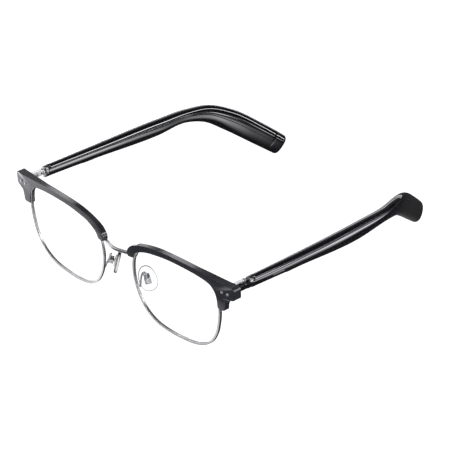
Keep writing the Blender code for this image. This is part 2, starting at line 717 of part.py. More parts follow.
def build_carriage(side, label, mats, group):
    """Middle knuckle, shank and spring rod; the temple slides on it against the spring."""
    px = side * PIN_X
    z0 = FORK_SLOT_Z[0] + FORK_GAP
    z1 = FORK_SLOT_Z[1] - FORK_GAP
    mid_z = (z0 + z1) / 2
    carriage = cylinder(
        label + "_hinge_carriage", (px, PIN_Y, z0), (px, PIN_Y, z1), KNUCKLE_RADIUS, mats["steel"], group,
        sides=KNUCKLE_SIDES,
    )
    shank = box(
        label + "_shank", (px, (SHANK_START_Y + SHANK_END_Y) / 2, mid_z),
        (SHANK_WIDTH, SHANK_END_Y - SHANK_START_Y, z1 - z0), None, group, cutter=True,
    )
    rod = cylinder(
        label + "_rod", (px, SHANK_END_Y - ROD_OVERLAP, mid_z), (px, ROD_END_Y - ROD_OVERLAP, mid_z),
        ROD_RADIUS, None, group, sides=ROD_SIDES, cutter=True,
    )
    rod_head_y = ROD_END_Y - ROD_HEAD_LENGTH
    rod_head = cylinder(
        label + "_rod_head", (px, rod_head_y, mid_z), (px, ROD_END_Y, mid_z), ROD_HEAD_RADIUS, None, group,
        cutter=True,
    )
    bore = cylinder(
        label + "_carriage_bore", (px, PIN_Y, z0 - THROUGH), (px, PIN_Y, z1 + THROUGH),
        PIN_RADIUS + PIN_CLEARANCE, None, group, sides=PIN_SIDES, cutter=True,
    )
    join_on(carriage, shank, rod, rod_head)
    cut(carriage, bore)

    start_y = SHOULDER_END_Y + SLIDE_TRAVEL + SPRING_FRONT_GAP
    length = rod_head_y - SPRING_BACK_GAP - start_y
    steps = SPRING_TURNS * SPRING_POINTS_PER_TURN
    path = []
    for i in range(steps + 1):
        angle = 2 * math.pi * i / SPRING_POINTS_PER_TURN
        x = px + SPRING_COIL_RADIUS * math.cos(angle)
        z = mid_z + SPRING_COIL_RADIUS * math.sin(angle)
        path.append((x, start_y + length * i / steps, z))
    origin = (px, start_y, mid_z)
    name = label + "_hinge_spring"
    mesh = wire_mesh(name, path, SPRING_WIRE_RADIUS, 0, origin)
    add_object(name, mesh, mats["steel"], group, origin, smooth=True)


# ---------------------------------------------------------------- nose pads
def pad_axes(side):
    """Long axis (down), face normal (towards the nose) and the screw axis across the pad."""
    long_axis = Vector((side * PAD_LONG[0], PAD_LONG[1], PAD_LONG[2])).normalized()
    face = Vector((side * PAD_FACE[0], PAD_FACE[1], PAD_FACE[2]))
    face = (face - long_axis * face.dot(long_axis)).normalized()
    return long_axis, face, long_axis.cross(face).normalized()


def pad_place(side, long_offset, face_offset, across=0.0):
    long_axis, face, cross = pad_axes(side)
    base = Vector((side * PAD_SCREW[0], PAD_SCREW[1], PAD_SCREW[2]))
    return base + long_axis * long_offset + face * face_offset + cross * across


def build_pad_mount(side, label, mats, group):
    """Wire arm from the eyewire and the small box that holds the pad's tab."""
    axes = pad_axes(side)
    holder = box(
        label + "_pad_box", pad_place(side, 0, PAD_BOX_OUT), PAD_BOX_SIZE, mats["steel"], group, axes=axes,
        bevel=PAD_BOX_BEVEL,
    )
    slot = box(
        label + "_pad_slot", pad_place(side, 0, PAD_SLOT_OUT), PAD_SLOT_SIZE, None, group, axes=axes,
        cutter=True,
    )
    reach = PAD_SCREW_HALF + THROUGH
    bore = cylinder(
        label + "_pad_bore", pad_place(side, 0, 0, -reach), pad_place(side, 0, 0, reach), PAD_BORE_RADIUS,
        None, group, sides=PAD_SCREW_SIDES, cutter=True,
    )
    cut(holder, slot, bore)
    cylinder(
        label + "_pad_screw", pad_place(side, 0, 0, -PAD_SCREW_HALF), pad_place(side, 0, 0, PAD_SCREW_HALF),
        PAD_SCREW_RADIUS, mats["dark_steel"], group, sides=PAD_SCREW_SIDES,
    )
    keys = [Vector((side * x, y, z)) for x, y, z in PAD_ARM_POINTS]
    keys.append(pad_place(side, PAD_ARM_ABOVE_BOX, PAD_ARM_OUT))
    keys.append(pad_place(side, PAD_ARM_AT_BOX, PAD_ARM_OUT))
    values = [tuple(key) for key in keys]
    path = []
    for i in range(PAD_ARM_STEPS + 1):
        path.append(Vector(hermite_path(range(len(keys)), values, i / PAD_ARM_STEPS * (len(keys) - 1))))
    # Short straight ends, square to the eyewire and to the box.
    path.insert(1, path[0] + Vector((0.0, PAD_ARM_STRAIGHT, 0.0)))
    path.insert(-1, path[-1] - axes[0] * PAD_ARM_STRAIGHT)
    name = label + "_pad_arm"
    mesh = wire_mesh(name, path, PAD_ARM_RADIUS, PAD_ARM_SIDE_ROUNDING, keys[0])
    add_object(name, mesh, mats["steel"], group, keys[0], smooth=True)


def build_pad(side, label, mats, group):
    """Clear silicone pad on a metal plate whose tab rocks on the pad screw."""
    axes = pad_axes(side)
    plate_at = PAD_OFFSET - PAD_THICK / 2 - PAD_PLATE_GAP
    core = box(
        label + "_pad_core", pad_place(side, 0, plate_at), PAD_PLATE_SIZE, mats["steel"], group, axes=axes,
    )
    tab = box(
        label + "_pad_tab", pad_place(side, 0, (plate_at - PAD_TAB_SINK) / 2),
        (PAD_TAB_LENGTH, plate_at + PAD_TAB_SINK, PAD_TAB_THICK), None, group, axes=axes, cutter=True,
    )
    half = PAD_TAB_THICK / 2
    knuckle = cylinder(
        label + "_pad_knuckle", pad_place(side, 0, 0, -half), pad_place(side, 0, 0, half),
        PAD_KNUCKLE_RADIUS, None, group, cutter=True,
    )
    reach = half + THROUGH
    bore = cylinder(
        label + "_pad_tab_bore", pad_place(side, 0, 0, -reach), pad_place(side, 0, 0, reach),
        PAD_BORE_RADIUS, None, group, sides=PAD_SCREW_SIDES, cutter=True,
    )
    join_on(core, tab, knuckle)
    cut(core, bore)
    long_axis, face, cross = axes
    centre = pad_place(side, PAD_DROP, PAD_OFFSET)
    rings = []
    for scale, height in PAD_LAYERS:
        ring = []
        for k in range(PAD_SIDES):
            angle = 2 * math.pi * k / PAD_SIDES
            along = math.cos(angle) * PAD_LENGTH / 2 * scale
            wide = math.sin(angle) * PAD_WIDTH / 2 * scale * (1.0 + PAD_TAPER * math.cos(angle))
            ring.append(centre + long_axis * along + cross * wide + face * height * PAD_THICK / 2)
        rings.append(ring)
    loft(label + "_nose_pad", rings, mats["silicone"], group, centre, smooth=True)


# ---------------------------------------------------------------- temples
ARM_POINTS = np.array([(x, y, z) for y, x, z, _w, _h in TEMPLE_STATIONS], float)
ARM_SIZES = np.array([(w / 2, h / 2) for _y, _x, _z, w, h in TEMPLE_STATIONS], float)
ARM_KEYS = np.concatenate([[0.0], np.cumsum(np.linalg.norm(np.diff(ARM_POINTS, axis=0), axis=1))])


def arm_length_at(y):
    """Distance along the centreline at which the temple reaches the given y."""
    low = ARM_KEYS[0]
    high = ARM_KEYS[-1]
    for _ in range(40):
        middle = (low + high) / 2
        if hermite_path(ARM_KEYS, ARM_POINTS, middle)[1] < y:
            low = middle
        else:
            high = middle
    return (low + high) / 2


def arm_frame(side, at):
    """Centre, tangent, outward and upward axes of the temple at a distance along it."""
    centre = hermite_path(ARM_KEYS, ARM_POINTS, at)
    ahead = hermite_path(ARM_KEYS, ARM_POINTS, min(at + TANGENT_STEP, ARM_KEYS[-1]))
    behind = hermite_path(ARM_KEYS, ARM_POINTS, max(at - TANGENT_STEP, ARM_KEYS[0]))
    tangent = (ahead - behind) / np.linalg.norm(ahead - behind)
    outward = np.cross(tangent, (0.0, 0.0, 1.0))
    outward /= np.linalg.norm(outward)
    upward = np.cross(outward, tangent)
    flip = np.array([side, 1.0, 1.0])
    return centre * flip, tangent * flip, outward * flip, upward * flip


def arm_point(side, at, outward, upward):
    centre, _tangent, out_axis, up_axis = arm_frame(side, at)
    return centre + out_axis * outward + up_axis * upward


def half_sizes(at):
    return hermite_path(ARM_KEYS, ARM_SIZES, at)


def seam_heights(y):
    ys = [row[0] for row in SEAM_STATIONS]
    inner = np.interp(y, ys, [row[1] for row in SEAM_STATIONS])
    outer = np.interp(y, ys, [row[2] for row in SEAM_STATIONS])
    return inner, outer


def section_angle(height, half_height):
    """Angle on the rounded section, from the outward side, at which it reaches a height."""
    ratio = min(max(height / half_height, -0.999), 0.999)
    return math.asin(math.copysign(abs(ratio) ** (SECTION_POWER / 2), ratio))


def section_point(half_width, half_height, angle):
    c = math.cos(angle)
    s = math.sin(angle)
    power = 2 / SECTION_POWER
    return (
        half_width * math.copysign(abs(c) ** power, c),
        half_height * math.copysign(abs(s) ** power, s),
    )


def shell_stations(first, last, extra):
    """Distances along the temple for the shell sections: even steps plus the given y values."""
    ys = []
    for y in SHELL_STEPS_Y:
        inside = first + STEP_CLEAR_OF_END < y < last - STEP_CLEAR_OF_END
        if inside and all(abs(y - e) > STEP_CLEAR_OF_EXTRA for e in extra):
            ys.append(y)
    return [(y, arm_length_at(y)) for y in sorted(ys + [first, last] + list(extra))]


def build_upper_shell(side, label, mats, group):
    rings = []
    for y, at in shell_stations(SHELL_FRONT_Y, CAP_START_Y, ()):
        half_w, half_h = half_sizes(at)
        inner, outer = seam_heights(y)
        start = section_angle(outer + SEAM_GAP, half_h)
        end = math.pi - section_angle(inner + SEAM_GAP, half_h)
        ring = []
        for k in range(UPPER_SHELL_STEPS + 1):
            out, up = section_point(half_w, half_h, start + (end - start) * k / UPPER_SHELL_STEPS)
            ring.append(arm_point(side, at, out, up))
        rings.append(ring)
    return loft(label + "_temple_upper", rings, mats["gloss"], group, pin_point(side), smooth=True)


def build_lower_shell(side, label, mats, group):
    """Trough below the seam; in front of the collar it narrows to the cover outside the hinge."""
    extra = [
        COVER_FRONT_Y + RAMP_LENGTH, SHELL_FRONT_Y - COVER_GAP, SHELL_FRONT_Y,
        CAVITY_START_Y, CAVITY_START_Y + RAMP_LENGTH, CAVITY_END_Y, CAVITY_END_Y + RAMP_LENGTH,
    ]
    rings = []
    for y, at in shell_stations(COVER_FRONT_Y, CAP_START_Y, extra):
        half_w, half_h = half_sizes(at)
        inner, outer = seam_heights(y)
        inner -= SEAM_GAP
        outer -= SEAM_GAP
        start = math.pi - section_angle(inner, half_h)
        sweep = 2 * math.pi + section_angle(outer, half_h) - start
        shape = []
        for k in range(LOWER_SHELL_STEPS + 1):
            shape.append(section_point(half_w, half_h, start + sweep * k / LOWER_SHELL_STEPS))
        channel = half_w - WALL
        n_in = shape[0][0]
        n_out = shape[-1][0]

        def seam_line(n):
            return inner + (outer - inner) * (n - n_in) / (n_out - n_in)

        floor = FLOOR_LIFT - FLOOR_SHARE * half_h
        if not CAVITY_START_Y < y < CAVITY_END_Y + STEP_CLEAR_OF_END:
            floor = min(seam_line(channel), seam_line(-channel)) - SOLID_DROP
        shape += [
            (channel, seam_line(channel)), (channel, floor), (-channel, floor),
            (-channel, seam_line(-channel)),
        ]
        if y < SHELL_FRONT_Y:
            squeeze = COVER_WIDTH / (2 * half_w)
            if y < COVER_FRONT_Y_END:
                squeeze *= COVER_FRONT_SHARE
            shape = [
                (half_w - (half_w - n) * squeeze, COVER_LIFT + min(b, outer) * COVER_HEIGHT)
                for n, b in shape
            ]
        rings.append([arm_point(side, at, n, b) for n, b in shape])
    return loft(label + "_temple_lower", rings, mats["gloss"], group, pin_point(side), smooth=True)


def build_collar(side, label, mats, group):
    """Silver plate that closes the front of the temple behind the hinge."""
    rings = []
    sections = (
        (COLLAR_FRONT_Y, COLLAR_FRONT_SHARE), (COLLAR_FRONT_Y + COLLAR_CHAMFER, 1.0),
        (SHELL_FRONT_Y - COLLAR_BACK_GAP, 1.0),
    )
    for y, shrink in sections:
        at = arm_length_at(y)
        half_w, half_h = half_sizes(at)
        cover_edge = half_w - COVER_WIDTH - COVER_GAP
        top = seam_heights(y)[1] + COLLAR_TOP
        start = section_angle(top, half_h)
        sweep = 1.5 * math.pi - start
        shape = []
        for k in range(COLLAR_STEPS + 1):
            shape.append(section_point(half_w * shrink, half_h * shrink, start + sweep * k / COLLAR_STEPS))
        shape += [(cover_edge, -half_h * shrink * COLLAR_BOTTOM_SHARE), (cover_edge, top)]
        rings.append([arm_point(side, at, n, b) for n, b in shape])
    return loft(label + "_collar", rings, mats["steel"], group, pin_point(side))


def build_tip_cap(side, label, mats, group):
    rings = []
    last = ARM_KEYS[-1]
    steps = [(arm_length_at(CAP_START_Y) + CAP_GAP, 1.0)]
    steps += [(last - before, shrink) for before, shrink in CAP_ROUNDING]
    for at, shrink in steps:
        half_w, half_h = half_sizes(at)
        ring = []
        for k in range(CAP_SIDES):
            out, up = section_point(half_w * shrink, half_h * shrink, 2 * math.pi * k / CAP_SIDES)
            ring.append(arm_point(side, at, out, up))
        rings.append(ring)
    loft(label + "_tip_cap", rings, mats["gloss"], group, pin_point(side), smooth=True)


def pin_point(side):
    return (side * PIN_X, PIN_Y, (BLOCK_Z0 + BLOCK_Z1) / 2)


def arm_box(name, side, y, out, up, size, mat, group, bevel=0.0, cutter=False):
    """Box set square to the temple at y: size is (across, along, high)."""
    at = arm_length_at(y)
    _centre, tangent, out_axis, up_axis = arm_frame(side, at)
    place = arm_point(side, at, out, up)
    return box(name, place, size, mat, group, axes=(out_axis, tangent, up_axis), bevel=bevel, cutter=cutter)


def underside_box(name, side, y, out, lift, size, mat, group, cutter=False):
    """Box in the underside of the temple, its middle at a height above the lowest line."""
    lowest = -half_sizes(arm_length_at(y))[1]
    return arm_box(name, side, y, out, lowest + lift, size, mat, group, cutter=cutter)


def way_box(name, side, way, group):
    """Opening along the hinge's rod."""
    y, size = way
    return box(name, (side * PIN_X, y, sum(FORK_SLOT_Z) / 2), size, None, group, cutter=True)


def build_microphone(side, label, mats, group):
    """Capsule under the crest; returns the tool that opens its hole."""
    at = arm_length_at(MIC_Y)
    crest = half_sizes(at)[1]
    cylinder(
        label + "_microphone", arm_point(side, at, MIC_OUT, crest - MIC_BOTTOM_DEPTH),
        arm_point(side, at, MIC_OUT, crest - MIC_TOP_DEPTH), MIC_RADIUS, mats["speaker"], group,
        sides=SMALL_SIDES,
    )
    return cylinder(
        label + "_mic_hole", arm_point(side, at, MIC_OUT, crest - MIC_HOLE_DEPTH),
        arm_point(side, at, MIC_OUT, crest + THROUGH), MIC_HOLE_RADIUS, None, group, sides=SMALL_SIDES,
        cutter=True,
    )


def build_light_pipe(side, label, mats, group):
    """Status light pipe in the inner wall; returns the tool that opens its hole."""
    at = arm_length_at(PIPE_Y)
    inner_side = -half_sizes(at)[0]
    cylinder(
        label + "_light_pipe", arm_point(side, at, inner_side + PIPE_SUNK, PIPE_UP),
        arm_point(side, at, inner_side + WALL + PIPE_PAST_WALL, PIPE_UP), PIPE_RADIUS, mats["pipe"], group,
        sides=SMALL_SIDES,
    )
    return cylinder(
        label + "_pipe_hole", arm_point(side, at, inner_side - THROUGH, PIPE_UP),
        arm_point(side, at, inner_side + WALL + PIPE_HOLE_PAST_WALL, PIPE_UP), PIPE_HOLE_RADIUS, None, group,
        sides=SMALL_SIDES, cutter=True,
    )


def build_badge(side, label, lower, mats, group):
    """Plain metal bar let into the outer side of the lower shell."""
    outer_side = half_sizes(arm_length_at(BADGE_Y))[0]
    recess = arm_box(
        label + "_badge_recess", side, BADGE_Y, outer_side, BADGE_UP, BADGE_RECESS_SIZE, None, group,
        cutter=True,
    )
    cut(lower, recess)
    arm_box(
        label + "_badge", side, BADGE_Y, outer_side - BADGE_SUNK, BADGE_UP, BADGE_SIZE, mats["steel"], group,
    )


def build_temple(side, label, mats, group):
    upper = build_upper_shell(side, label, mats, group)
    lower = build_lower_shell(side, label, mats, group)
    collar = build_collar(side, label, mats, group)
    build_tip_cap(side, label, mats, group)
    shank_way = way_box(label + "_shank_way", side, SHANK_WAY, group)
    rod_way = way_box(label + "_rod_way", side, ROD_WAY, group)
    spring_way = way_box(label + "_spring_way", side, SPRING_WAY, group)
    mic_hole = build_microphone(side, label, mats, group)
    pipe_hole = build_light_pipe(side, label, mats, group)

    arm_box(label + "_main_board", side, *BOARD, mats["board"], group)
    arm_box(label + "_speaker", side, *SPEAKER, mats["speaker"], group)
    arm_box(label + "_battery", side, *BATTERY, mats["foil"], group, bevel=BATTERY_BEVEL)
    strip_out = half_sizes(arm_length_at(TOUCH_STRIP_Y))[0] - WALL - TOUCH_STRIP_GAP
    arm_box(
        label + "_touch_strip", side, TOUCH_STRIP_Y, strip_out, TOUCH_STRIP_UP, TOUCH_STRIP_SIZE,
        mats["gold"], group,
    )
    vent = underside_box(label + "_speaker_vent", side, *SPEAKER_VENT, None, group, cutter=True)
    underside_box(label + "_speaker_grille", side, *SPEAKER_GRILLE, mats["speaker"], group)
    pocket = underside_box(label + "_port_pocket", side, *PORT_POCKET, None, group, cutter=True)
    underside_box(label + "_charge_port", side, *CHARGE_PORT, mats["gold"], group)

    cut(collar, shank_way)
    cut(upper, shank_way, rod_way, spring_way, mic_hole)
    cut(lower, shank_way, rod_way, spring_way, vent, pocket, pipe_hole)
    if side > 0:
        build_badge(side, label, lower, mats, group)


def main():
    clear_scene()
    mats = {
        "steel": material("polished_steel", (0.80, 0.80, 0.81), 1.0, 0.15),
        "dark_steel": material("dark_steel", (0.12, 0.12, 0.13), 1.0, 0.35),
        "slate": material("satin_slate", (0.035, 0.037, 0.042), 0.0, 0.32),
        "gloss": material("piano_black", (0.010, 0.010, 0.012), 0.0, 0.06),
        "lens": material("clear_lens", (0.97, 0.98, 0.98), 0.0, 0.02, 1.0),
        "silicone": material("clear_silicone", (0.93, 0.93, 0.92), 0.0, 0.20, 0.9),
        "board": material("circuit_board", (0.03, 0.16, 0.08), 0.0, 0.50),
        "foil": material("battery_foil", (0.55, 0.56, 0.58), 0.8, 0.35),
        "gold": material("gold_contact", (0.85, 0.62, 0.25), 1.0, 0.25),
        "speaker": material("speaker_black", (0.03, 0.03, 0.03), 0.0, 0.60),
        "pipe": material("light_pipe", (0.90, 0.92, 0.90), 0.0, 0.10, 0.8),
    }
    root = Group("glasses_rest", (0.0, 0.0, 0.0))
    notch = build_bridge(mats, root)
    for side, label in ((1, "left"), (-1, "right")):
        build_rim(side, label, mats, root)
        build_lens(side, label, mats, root)
        build_brow(side, label, mats, root, notch)
        build_hinge_front(side, label, mats, root)
        build_pad_mount(side, label, mats, root)
        pad_group = Group(label + "_pad_pivot", pad_place(side, 0, 0), root)
        build_pad(side, label, mats, pad_group)
        hinge_group = Group(label + "_hinge_pivot", pin_point(side), root)
        build_carriage(side, label, mats, hinge_group)
        temple_group = Group(label + "_temple_slide", pin_point(side), hinge_group)
        build_temple(side, label, mats, temple_group)
    stand_on_table(root)


def stand_on_table(root):
    """Turns the pair on to its eyewires and tips and centres it over the origin."""
    root.empty.rotation_euler = (-REST_TILT, 0.0, 0.0)
    bpy.context.view_layer.update()
    low = Vector((1e9, 1e9, 1e9))
    high = -low
    for obj in parts.objects:
        if obj.type != "MESH":
            continue
        for vert in obj.data.vertices:
            world = obj.matrix_world @ vert.co
            low = Vector(map(min, low, world))
            high = Vector(map(max, high, world))
    root.empty.location = (0.0, -(low.y + high.y) / 2, -low.z)
    bpy.context.view_layer.update()


main()
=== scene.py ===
"""Looks for the smart glasses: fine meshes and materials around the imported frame, on a pale table.

Shapes are laid out in the wearer's frame, in millimetres: x = 0 is the plane of symmetry, +x is the
wearer's left, y runs from the lenses back to the temple tips and z is up. to_world() carries them on
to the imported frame, whose left hinge gives the place and the tilt.
"""

import json
import math

import bmesh
import bpy
import numpy as np
from mathutils import Matrix, Vector


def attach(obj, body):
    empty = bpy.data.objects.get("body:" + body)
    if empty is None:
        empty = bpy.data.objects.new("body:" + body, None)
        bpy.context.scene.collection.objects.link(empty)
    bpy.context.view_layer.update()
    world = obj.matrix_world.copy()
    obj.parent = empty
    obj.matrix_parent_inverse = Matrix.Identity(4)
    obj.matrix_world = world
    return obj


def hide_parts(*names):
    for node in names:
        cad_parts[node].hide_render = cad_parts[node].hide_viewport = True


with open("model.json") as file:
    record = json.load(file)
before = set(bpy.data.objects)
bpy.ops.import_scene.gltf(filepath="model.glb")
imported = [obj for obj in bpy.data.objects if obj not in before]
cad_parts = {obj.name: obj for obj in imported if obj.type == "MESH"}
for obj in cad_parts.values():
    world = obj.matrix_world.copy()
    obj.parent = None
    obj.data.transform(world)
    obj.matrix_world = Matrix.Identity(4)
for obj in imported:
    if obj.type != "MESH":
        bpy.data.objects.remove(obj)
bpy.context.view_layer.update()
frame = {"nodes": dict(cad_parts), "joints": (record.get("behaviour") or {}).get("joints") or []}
MM = 0.001
JOINTS = {joint["name"]: joint for joint in frame["joints"]}

# ---- driving dimensions, in the wearer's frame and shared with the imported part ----
LENS_CENTRE = np.array([36.95, -17.96])
RIM_PLANE_X = 35.0
RIM_PLANE_Y = 1.26
WRAP_SLOPE = math.tan(math.radians(2.67))
TILT_SLOPE = math.tan(math.radians(5.42))
RIM_OUTLINE = [
    (24.7, 0.0), (25.5, 5.0), (25.6, 9.5), (25.1, 14.4), (23.4, 17.9), (20.2, 20.1), (13.0, 21.2),
    (4.0, 21.55), (-5.0, 21.35), (-13.0, 20.3), (-19.4, 18.9), (-23.9, 16.5), (-26.1, 12.2),
    (-26.95, 6.0), (-26.35, 0.0), (-24.3, -6.6), (-20.4, -12.6), (-14.2, -16.75), (-6.0, -18.3),
    (2.0, -18.3), (9.5, -17.45), (15.5, -15.1), (20.0, -11.3), (23.2, -5.6),
]
WIRE_RADIAL = 1.1
WIRE_DEPTH = 1.5
WIRE_CORNER = 0.34
WIRE_VEE = 0.22
LENS_EDGE = 1.4
LENS_BULGE = 1.3
LENS_OVERLAP = 0.12
LENS_BEVEL = (0.15, 0.3)
LENS_SCALES = np.linspace(1.0, 0.1, 14)

# (angle about the lens centre of the inner edge, outer edge x, outer edge z)
BROW_STATIONS = [
    (152.6, 8.6, -5.1), (150.5, 8.0, -3.8), (147.5, 8.2, -2.1), (144.0, 9.2, -0.3), (140.0, 11.2, 1.5),
    (134.8, 14.9, 3.1), (126.0, 20.5, 4.5), (114.5, 26.6, 5.4), (101.0, 32.6, 5.75), (90.0, 36.95, 5.85),
    (79.6, 41.0, 5.9), (70.0, 45.0, 5.9), (61.5, 49.0, 5.85), (53.5, 53.5, 5.65), (48.0, 57.5, 5.4),
    (44.0, 61.5, 5.1), (40.5, 65.5, 4.85), (37.8, 69.0, 4.65), (36.0, 71.1, 4.5), (35.0, 71.75, 4.0),
    (33.8, 71.9, 2.6), (32.4, 71.85, 0.6), (31.5, 71.8, -0.8), (31.0, 71.5, -1.5), (30.2, 70.6, -1.85),
    (29.5, 69.4, -2.2), (27.5, 67.8, -3.0), (25.5, 67.0, -4.4), (23.0, 66.7, -6.2), (21.3, 66.55, -7.8),
    (20.3, 66.2, -8.7), (19.6, 65.3, -9.1),
]
BROW_INSET = 0.35
BROW_FRONT = -1.2
BROW_BACK = 1.6
BROW_BACK_END = 1.3
BROW_BACK_RUN = (9.0, 26.0)
BROW_FRONT_END = -0.5
BROW_FRONT_RUN = (8.0, 20.0)
BROW_CROWN = 0.03
BROW_FACE_STEPS = 7
BROW_EDGE = 0.26
END_PIECE_GROWTH = 0.1
END_PIECE_RUN_Z = (-6.5, -1.5)
END_PIECE_FROM_X = 50.0
END_PIECE_SWEEP_X = 66.0
END_PIECE_SWEEP = 0.022
GROOVE_HALF = 0.82
GROOVE_DEEP = 1.02

BRIDGE_END_X = 10.35
BRIDGE_HEIGHT = 1.7
BRIDGE_DEPTH = 1.3
BRIDGE_CORNER = 0.45
BRIDGE_Y = -0.95
BRIDGE_Z = -4.6
BRIDGE_BOW = 2.6
BRIDGE_ARCH = 0.25

RIVETS = {"outer": (68.4, 0.62), "inner": (65.2, 0.53)}
RIVET_RADIUS = 0.72
# (share of the radius, height above the brow's face) of the rivet's head
RIVET_HEAD = [(0.92, 0.0), (0.9, 0.05), (0.78, 0.09), (0.5, 0.11), (0.2, 0.12)]
PIN = (66.8, 11.6, 1.65)

PAD_SCREW = (12.0, 6.0, -19.5)
PAD_LONG = (0.35, 0.10, -0.93)
PAD_FACE = (-0.72, 0.66, -0.20)
PAD_LENGTH = 12.6
PAD_WIDTH = 8.5
PAD_THICK = 1.9
PAD_OFFSET = 2.75
PAD_SQUARENESS = 0.92
PAD_TAPER = 0.10
PAD_EDGE = 0.14
PAD_DEPTH_SHARE = 0.82
# (share of the outline, height) of the pad's flat side and of its domed side
PAD_FLAT_SIDE = [(0.1, -0.78), (0.5, -0.8), (0.75, -0.86)]
PAD_DOMED_SIDE = [(0.72, 1.1), (0.5, 1.18), (0.25, 1.22), (0.1, 1.23)]
# (x, y, z) of the pad's wire from the eyewire up to the loop; it ends inside the clip
PAD_WIRE = [
    (11.75, 1.62, -21.4), (11.35, 2.3, -19.4), (10.8, 3.2, -17.2), (10.7, 4.2, -15.8), (11.5, 4.9, -15.6),
]
PAD_WIRE_END = (-2.6, -1.36)
PAD_WIRE_RADIUS = 0.5
CLIP_BACK = -1.25
CLIP_CHEEK_OUT = 0.05
CLIP_CHEEK_ACROSS = 0.95
CLIP_CHEEK_HALF = (1.3, 0.85, 0.42)
CLIP_BACK_HALF = (1.3, 0.45, 1.37)
CLIP_CORNER = 0.12

# (y, x, z, width, height) of the temple's section along its centreline
TEMPLE_STATIONS = [
    (6.0, 67.4, 1.05, 3.5, 5.8), (14.5, 67.45, 1.0, 3.6, 5.9), (45.0, 67.5, 0.5, 4.6, 6.8),
    (84.0, 66.9, -0.05, 5.5, 8.4), (103.0, 65.6, 0.6, 5.3, 6.9), (115.0, 62.3, -1.05, 5.4, 9.2),
    (124.5, 57.95, -5.75, 5.8, 11.2), (138.0, 51.4, -15.2, 6.05, 11.4), (150.0, 45.75, -24.2, 6.4, 10.6),
]
SECTION_POWER = 2.33
# The sections lie at even steps up to the narrowest part of the temple and closer behind it
STATION_SPLIT = (96.0, 97.0)
STATION_COUNTS = (55, 75)
STATION_GAP = 0.3
COVER_FRONT_Y = 5.9
COLLAR_FRONT_Y = 13.1
SHELL_FRONT_Y = 15.2
CAP_START_Y = 145.2
CAVITY_START_Y = 27.0
CAVITY_END_Y = 142.0
SEAM_GAP = 0.06
SEAM_STATIONS = [
    (6.0, 1.5, 0.7), (37.0, 1.45, 1.15), (57.0, 1.5, 1.9), (75.0, 1.65, 2.9), (86.0, 1.65, 3.2),
    (99.0, 0.8, 2.5), (113.0, 0.6, 2.3), (150.0, 0.6, 2.2),
]
SEAM_BLEND = 5.0
SEAM_TUCK = 0.11
SEAM_TUCK_CLOSING = 0.085
SEAM_TUCK_RUN = (60.0, 95.0)
SEAM_FIRST_STEP = 0.03
COVER_WIDTH = 1.35
COVER_HEIGHT = 0.7
COVER_LIFT = 0.22
COVER_NOSE = 0.14
COVER_NOSE_LENGTH = 1.0
WALL = 0.95
CAVITY_SHARE = 0.84
CAVITY_FLOOR = 0.75
SOLID_FLOOR_GAP = 0.12
SHELL_EDGE = 0.1
# (distance behind the collar's front or before its back, share of the section)
COLLAR_FRONT = [(0.0, 0.86), (0.06, 0.93), (0.2, 0.98), (0.4, 1.0)]
COLLAR_BACK = [(0.25, 1.0), (0.1, 0.985), (0.0, 0.95)]
COLLAR_GAP = 0.12
CAP_GAP = 0.12
CAP_ROUNDING = 1.3
CAP_SHRINK = 0.2
CAP_HEIGHT_KEPT = 0.35
MIC_Y = 50.1
MIC_OUTWARD = 0.3
MIC_SUNK = 0.012
# (radius, height) of the port, from below the crest over the raised rim to the mesh
MIC_PROFILE = [
    (0.36, -0.5), (0.46, -0.35), (0.48, 0.0), (0.44, 0.035), (0.38, 0.03), (0.33, -0.05), (0.1, -0.07),
]
BADGE_Y = 30.6
BADGE_HALF_LENGTH = 3.5
BADGE_HALF_HEIGHT = 0.5
BADGE_DROP = 0.75
BADGE_ROUND_SHARE = 0.14
BADGE_END_SHARE = 0.12
BADGE_PROUD = 0.05
BADGE_CROWN = 0.04
BADGE_DEPTH = 0.2

# ---- placing ----
HINGE_UP = Vector(JOINTS["left_hinge"]["axis"])
REST_TILT = math.atan2(HINGE_UP.y, HINGE_UP.z)
TURN = np.array(Matrix.Rotation(-REST_TILT, 3, "X"))
SHIFT = np.array(JOINTS["left_hinge"]["pos_m"]) - TURN @ np.array(PIN) * MM


def to_world(points):
    return np.asarray(points, float) @ TURN.T * MM + SHIFT


def direction_to_world(vector):
    return Vector(TURN @ np.array(vector, float)).normalized()


# ---- node helpers ----
def new_material(name):
    mat = bpy.data.materials.new(name)
    mat.use_nodes = True
    return mat, mat.node_tree, mat.node_tree.nodes["Principled BSDF"]


EVEN = (1.0, 1.0, 1.0)


def scaled(colour, factor):
    return tuple(min(1.0, c * factor) for c in colour)


def set_inputs(node, values):
    for key, value in values.items():
        node.inputs[key].default_value = value


def coordinate(tree, kind="Object"):
    return tree.nodes.new("ShaderNodeTexCoord").outputs[kind]


def noise(tree, scale, detail=3.0, stretch=EVEN, roughness=0.5):
    """Object-space noise, its cells stretched along an axis where asked."""
    mapping = tree.nodes.new("ShaderNodeMapping")
    mapping.inputs["Scale"].default_value = stretch
    tree.links.new(coordinate(tree), mapping.inputs["Vector"])
    tex = tree.nodes.new("ShaderNodeTexNoise")
    set_inputs(tex, {"Scale": scale, "Detail": detail, "Roughness": roughness})
    tree.links.new(mapping.outputs["Vector"], tex.inputs["Vector"])
    return tex.outputs["Fac"]


def ramp(tree, value, low, high, out_low, out_high):
    """Smooth step from one output to the other between two values."""
    node_range = tree.nodes.new("ShaderNodeMapRange")
    node_range.interpolation_type = "SMOOTHSTEP"
    set_inputs(node_range, {"From Min": low, "From Max": high, "To Min": out_low, "To Max": out_high})
    tree.links.new(value, node_range.inputs["Value"])
    return node_range.outputs["Result"]


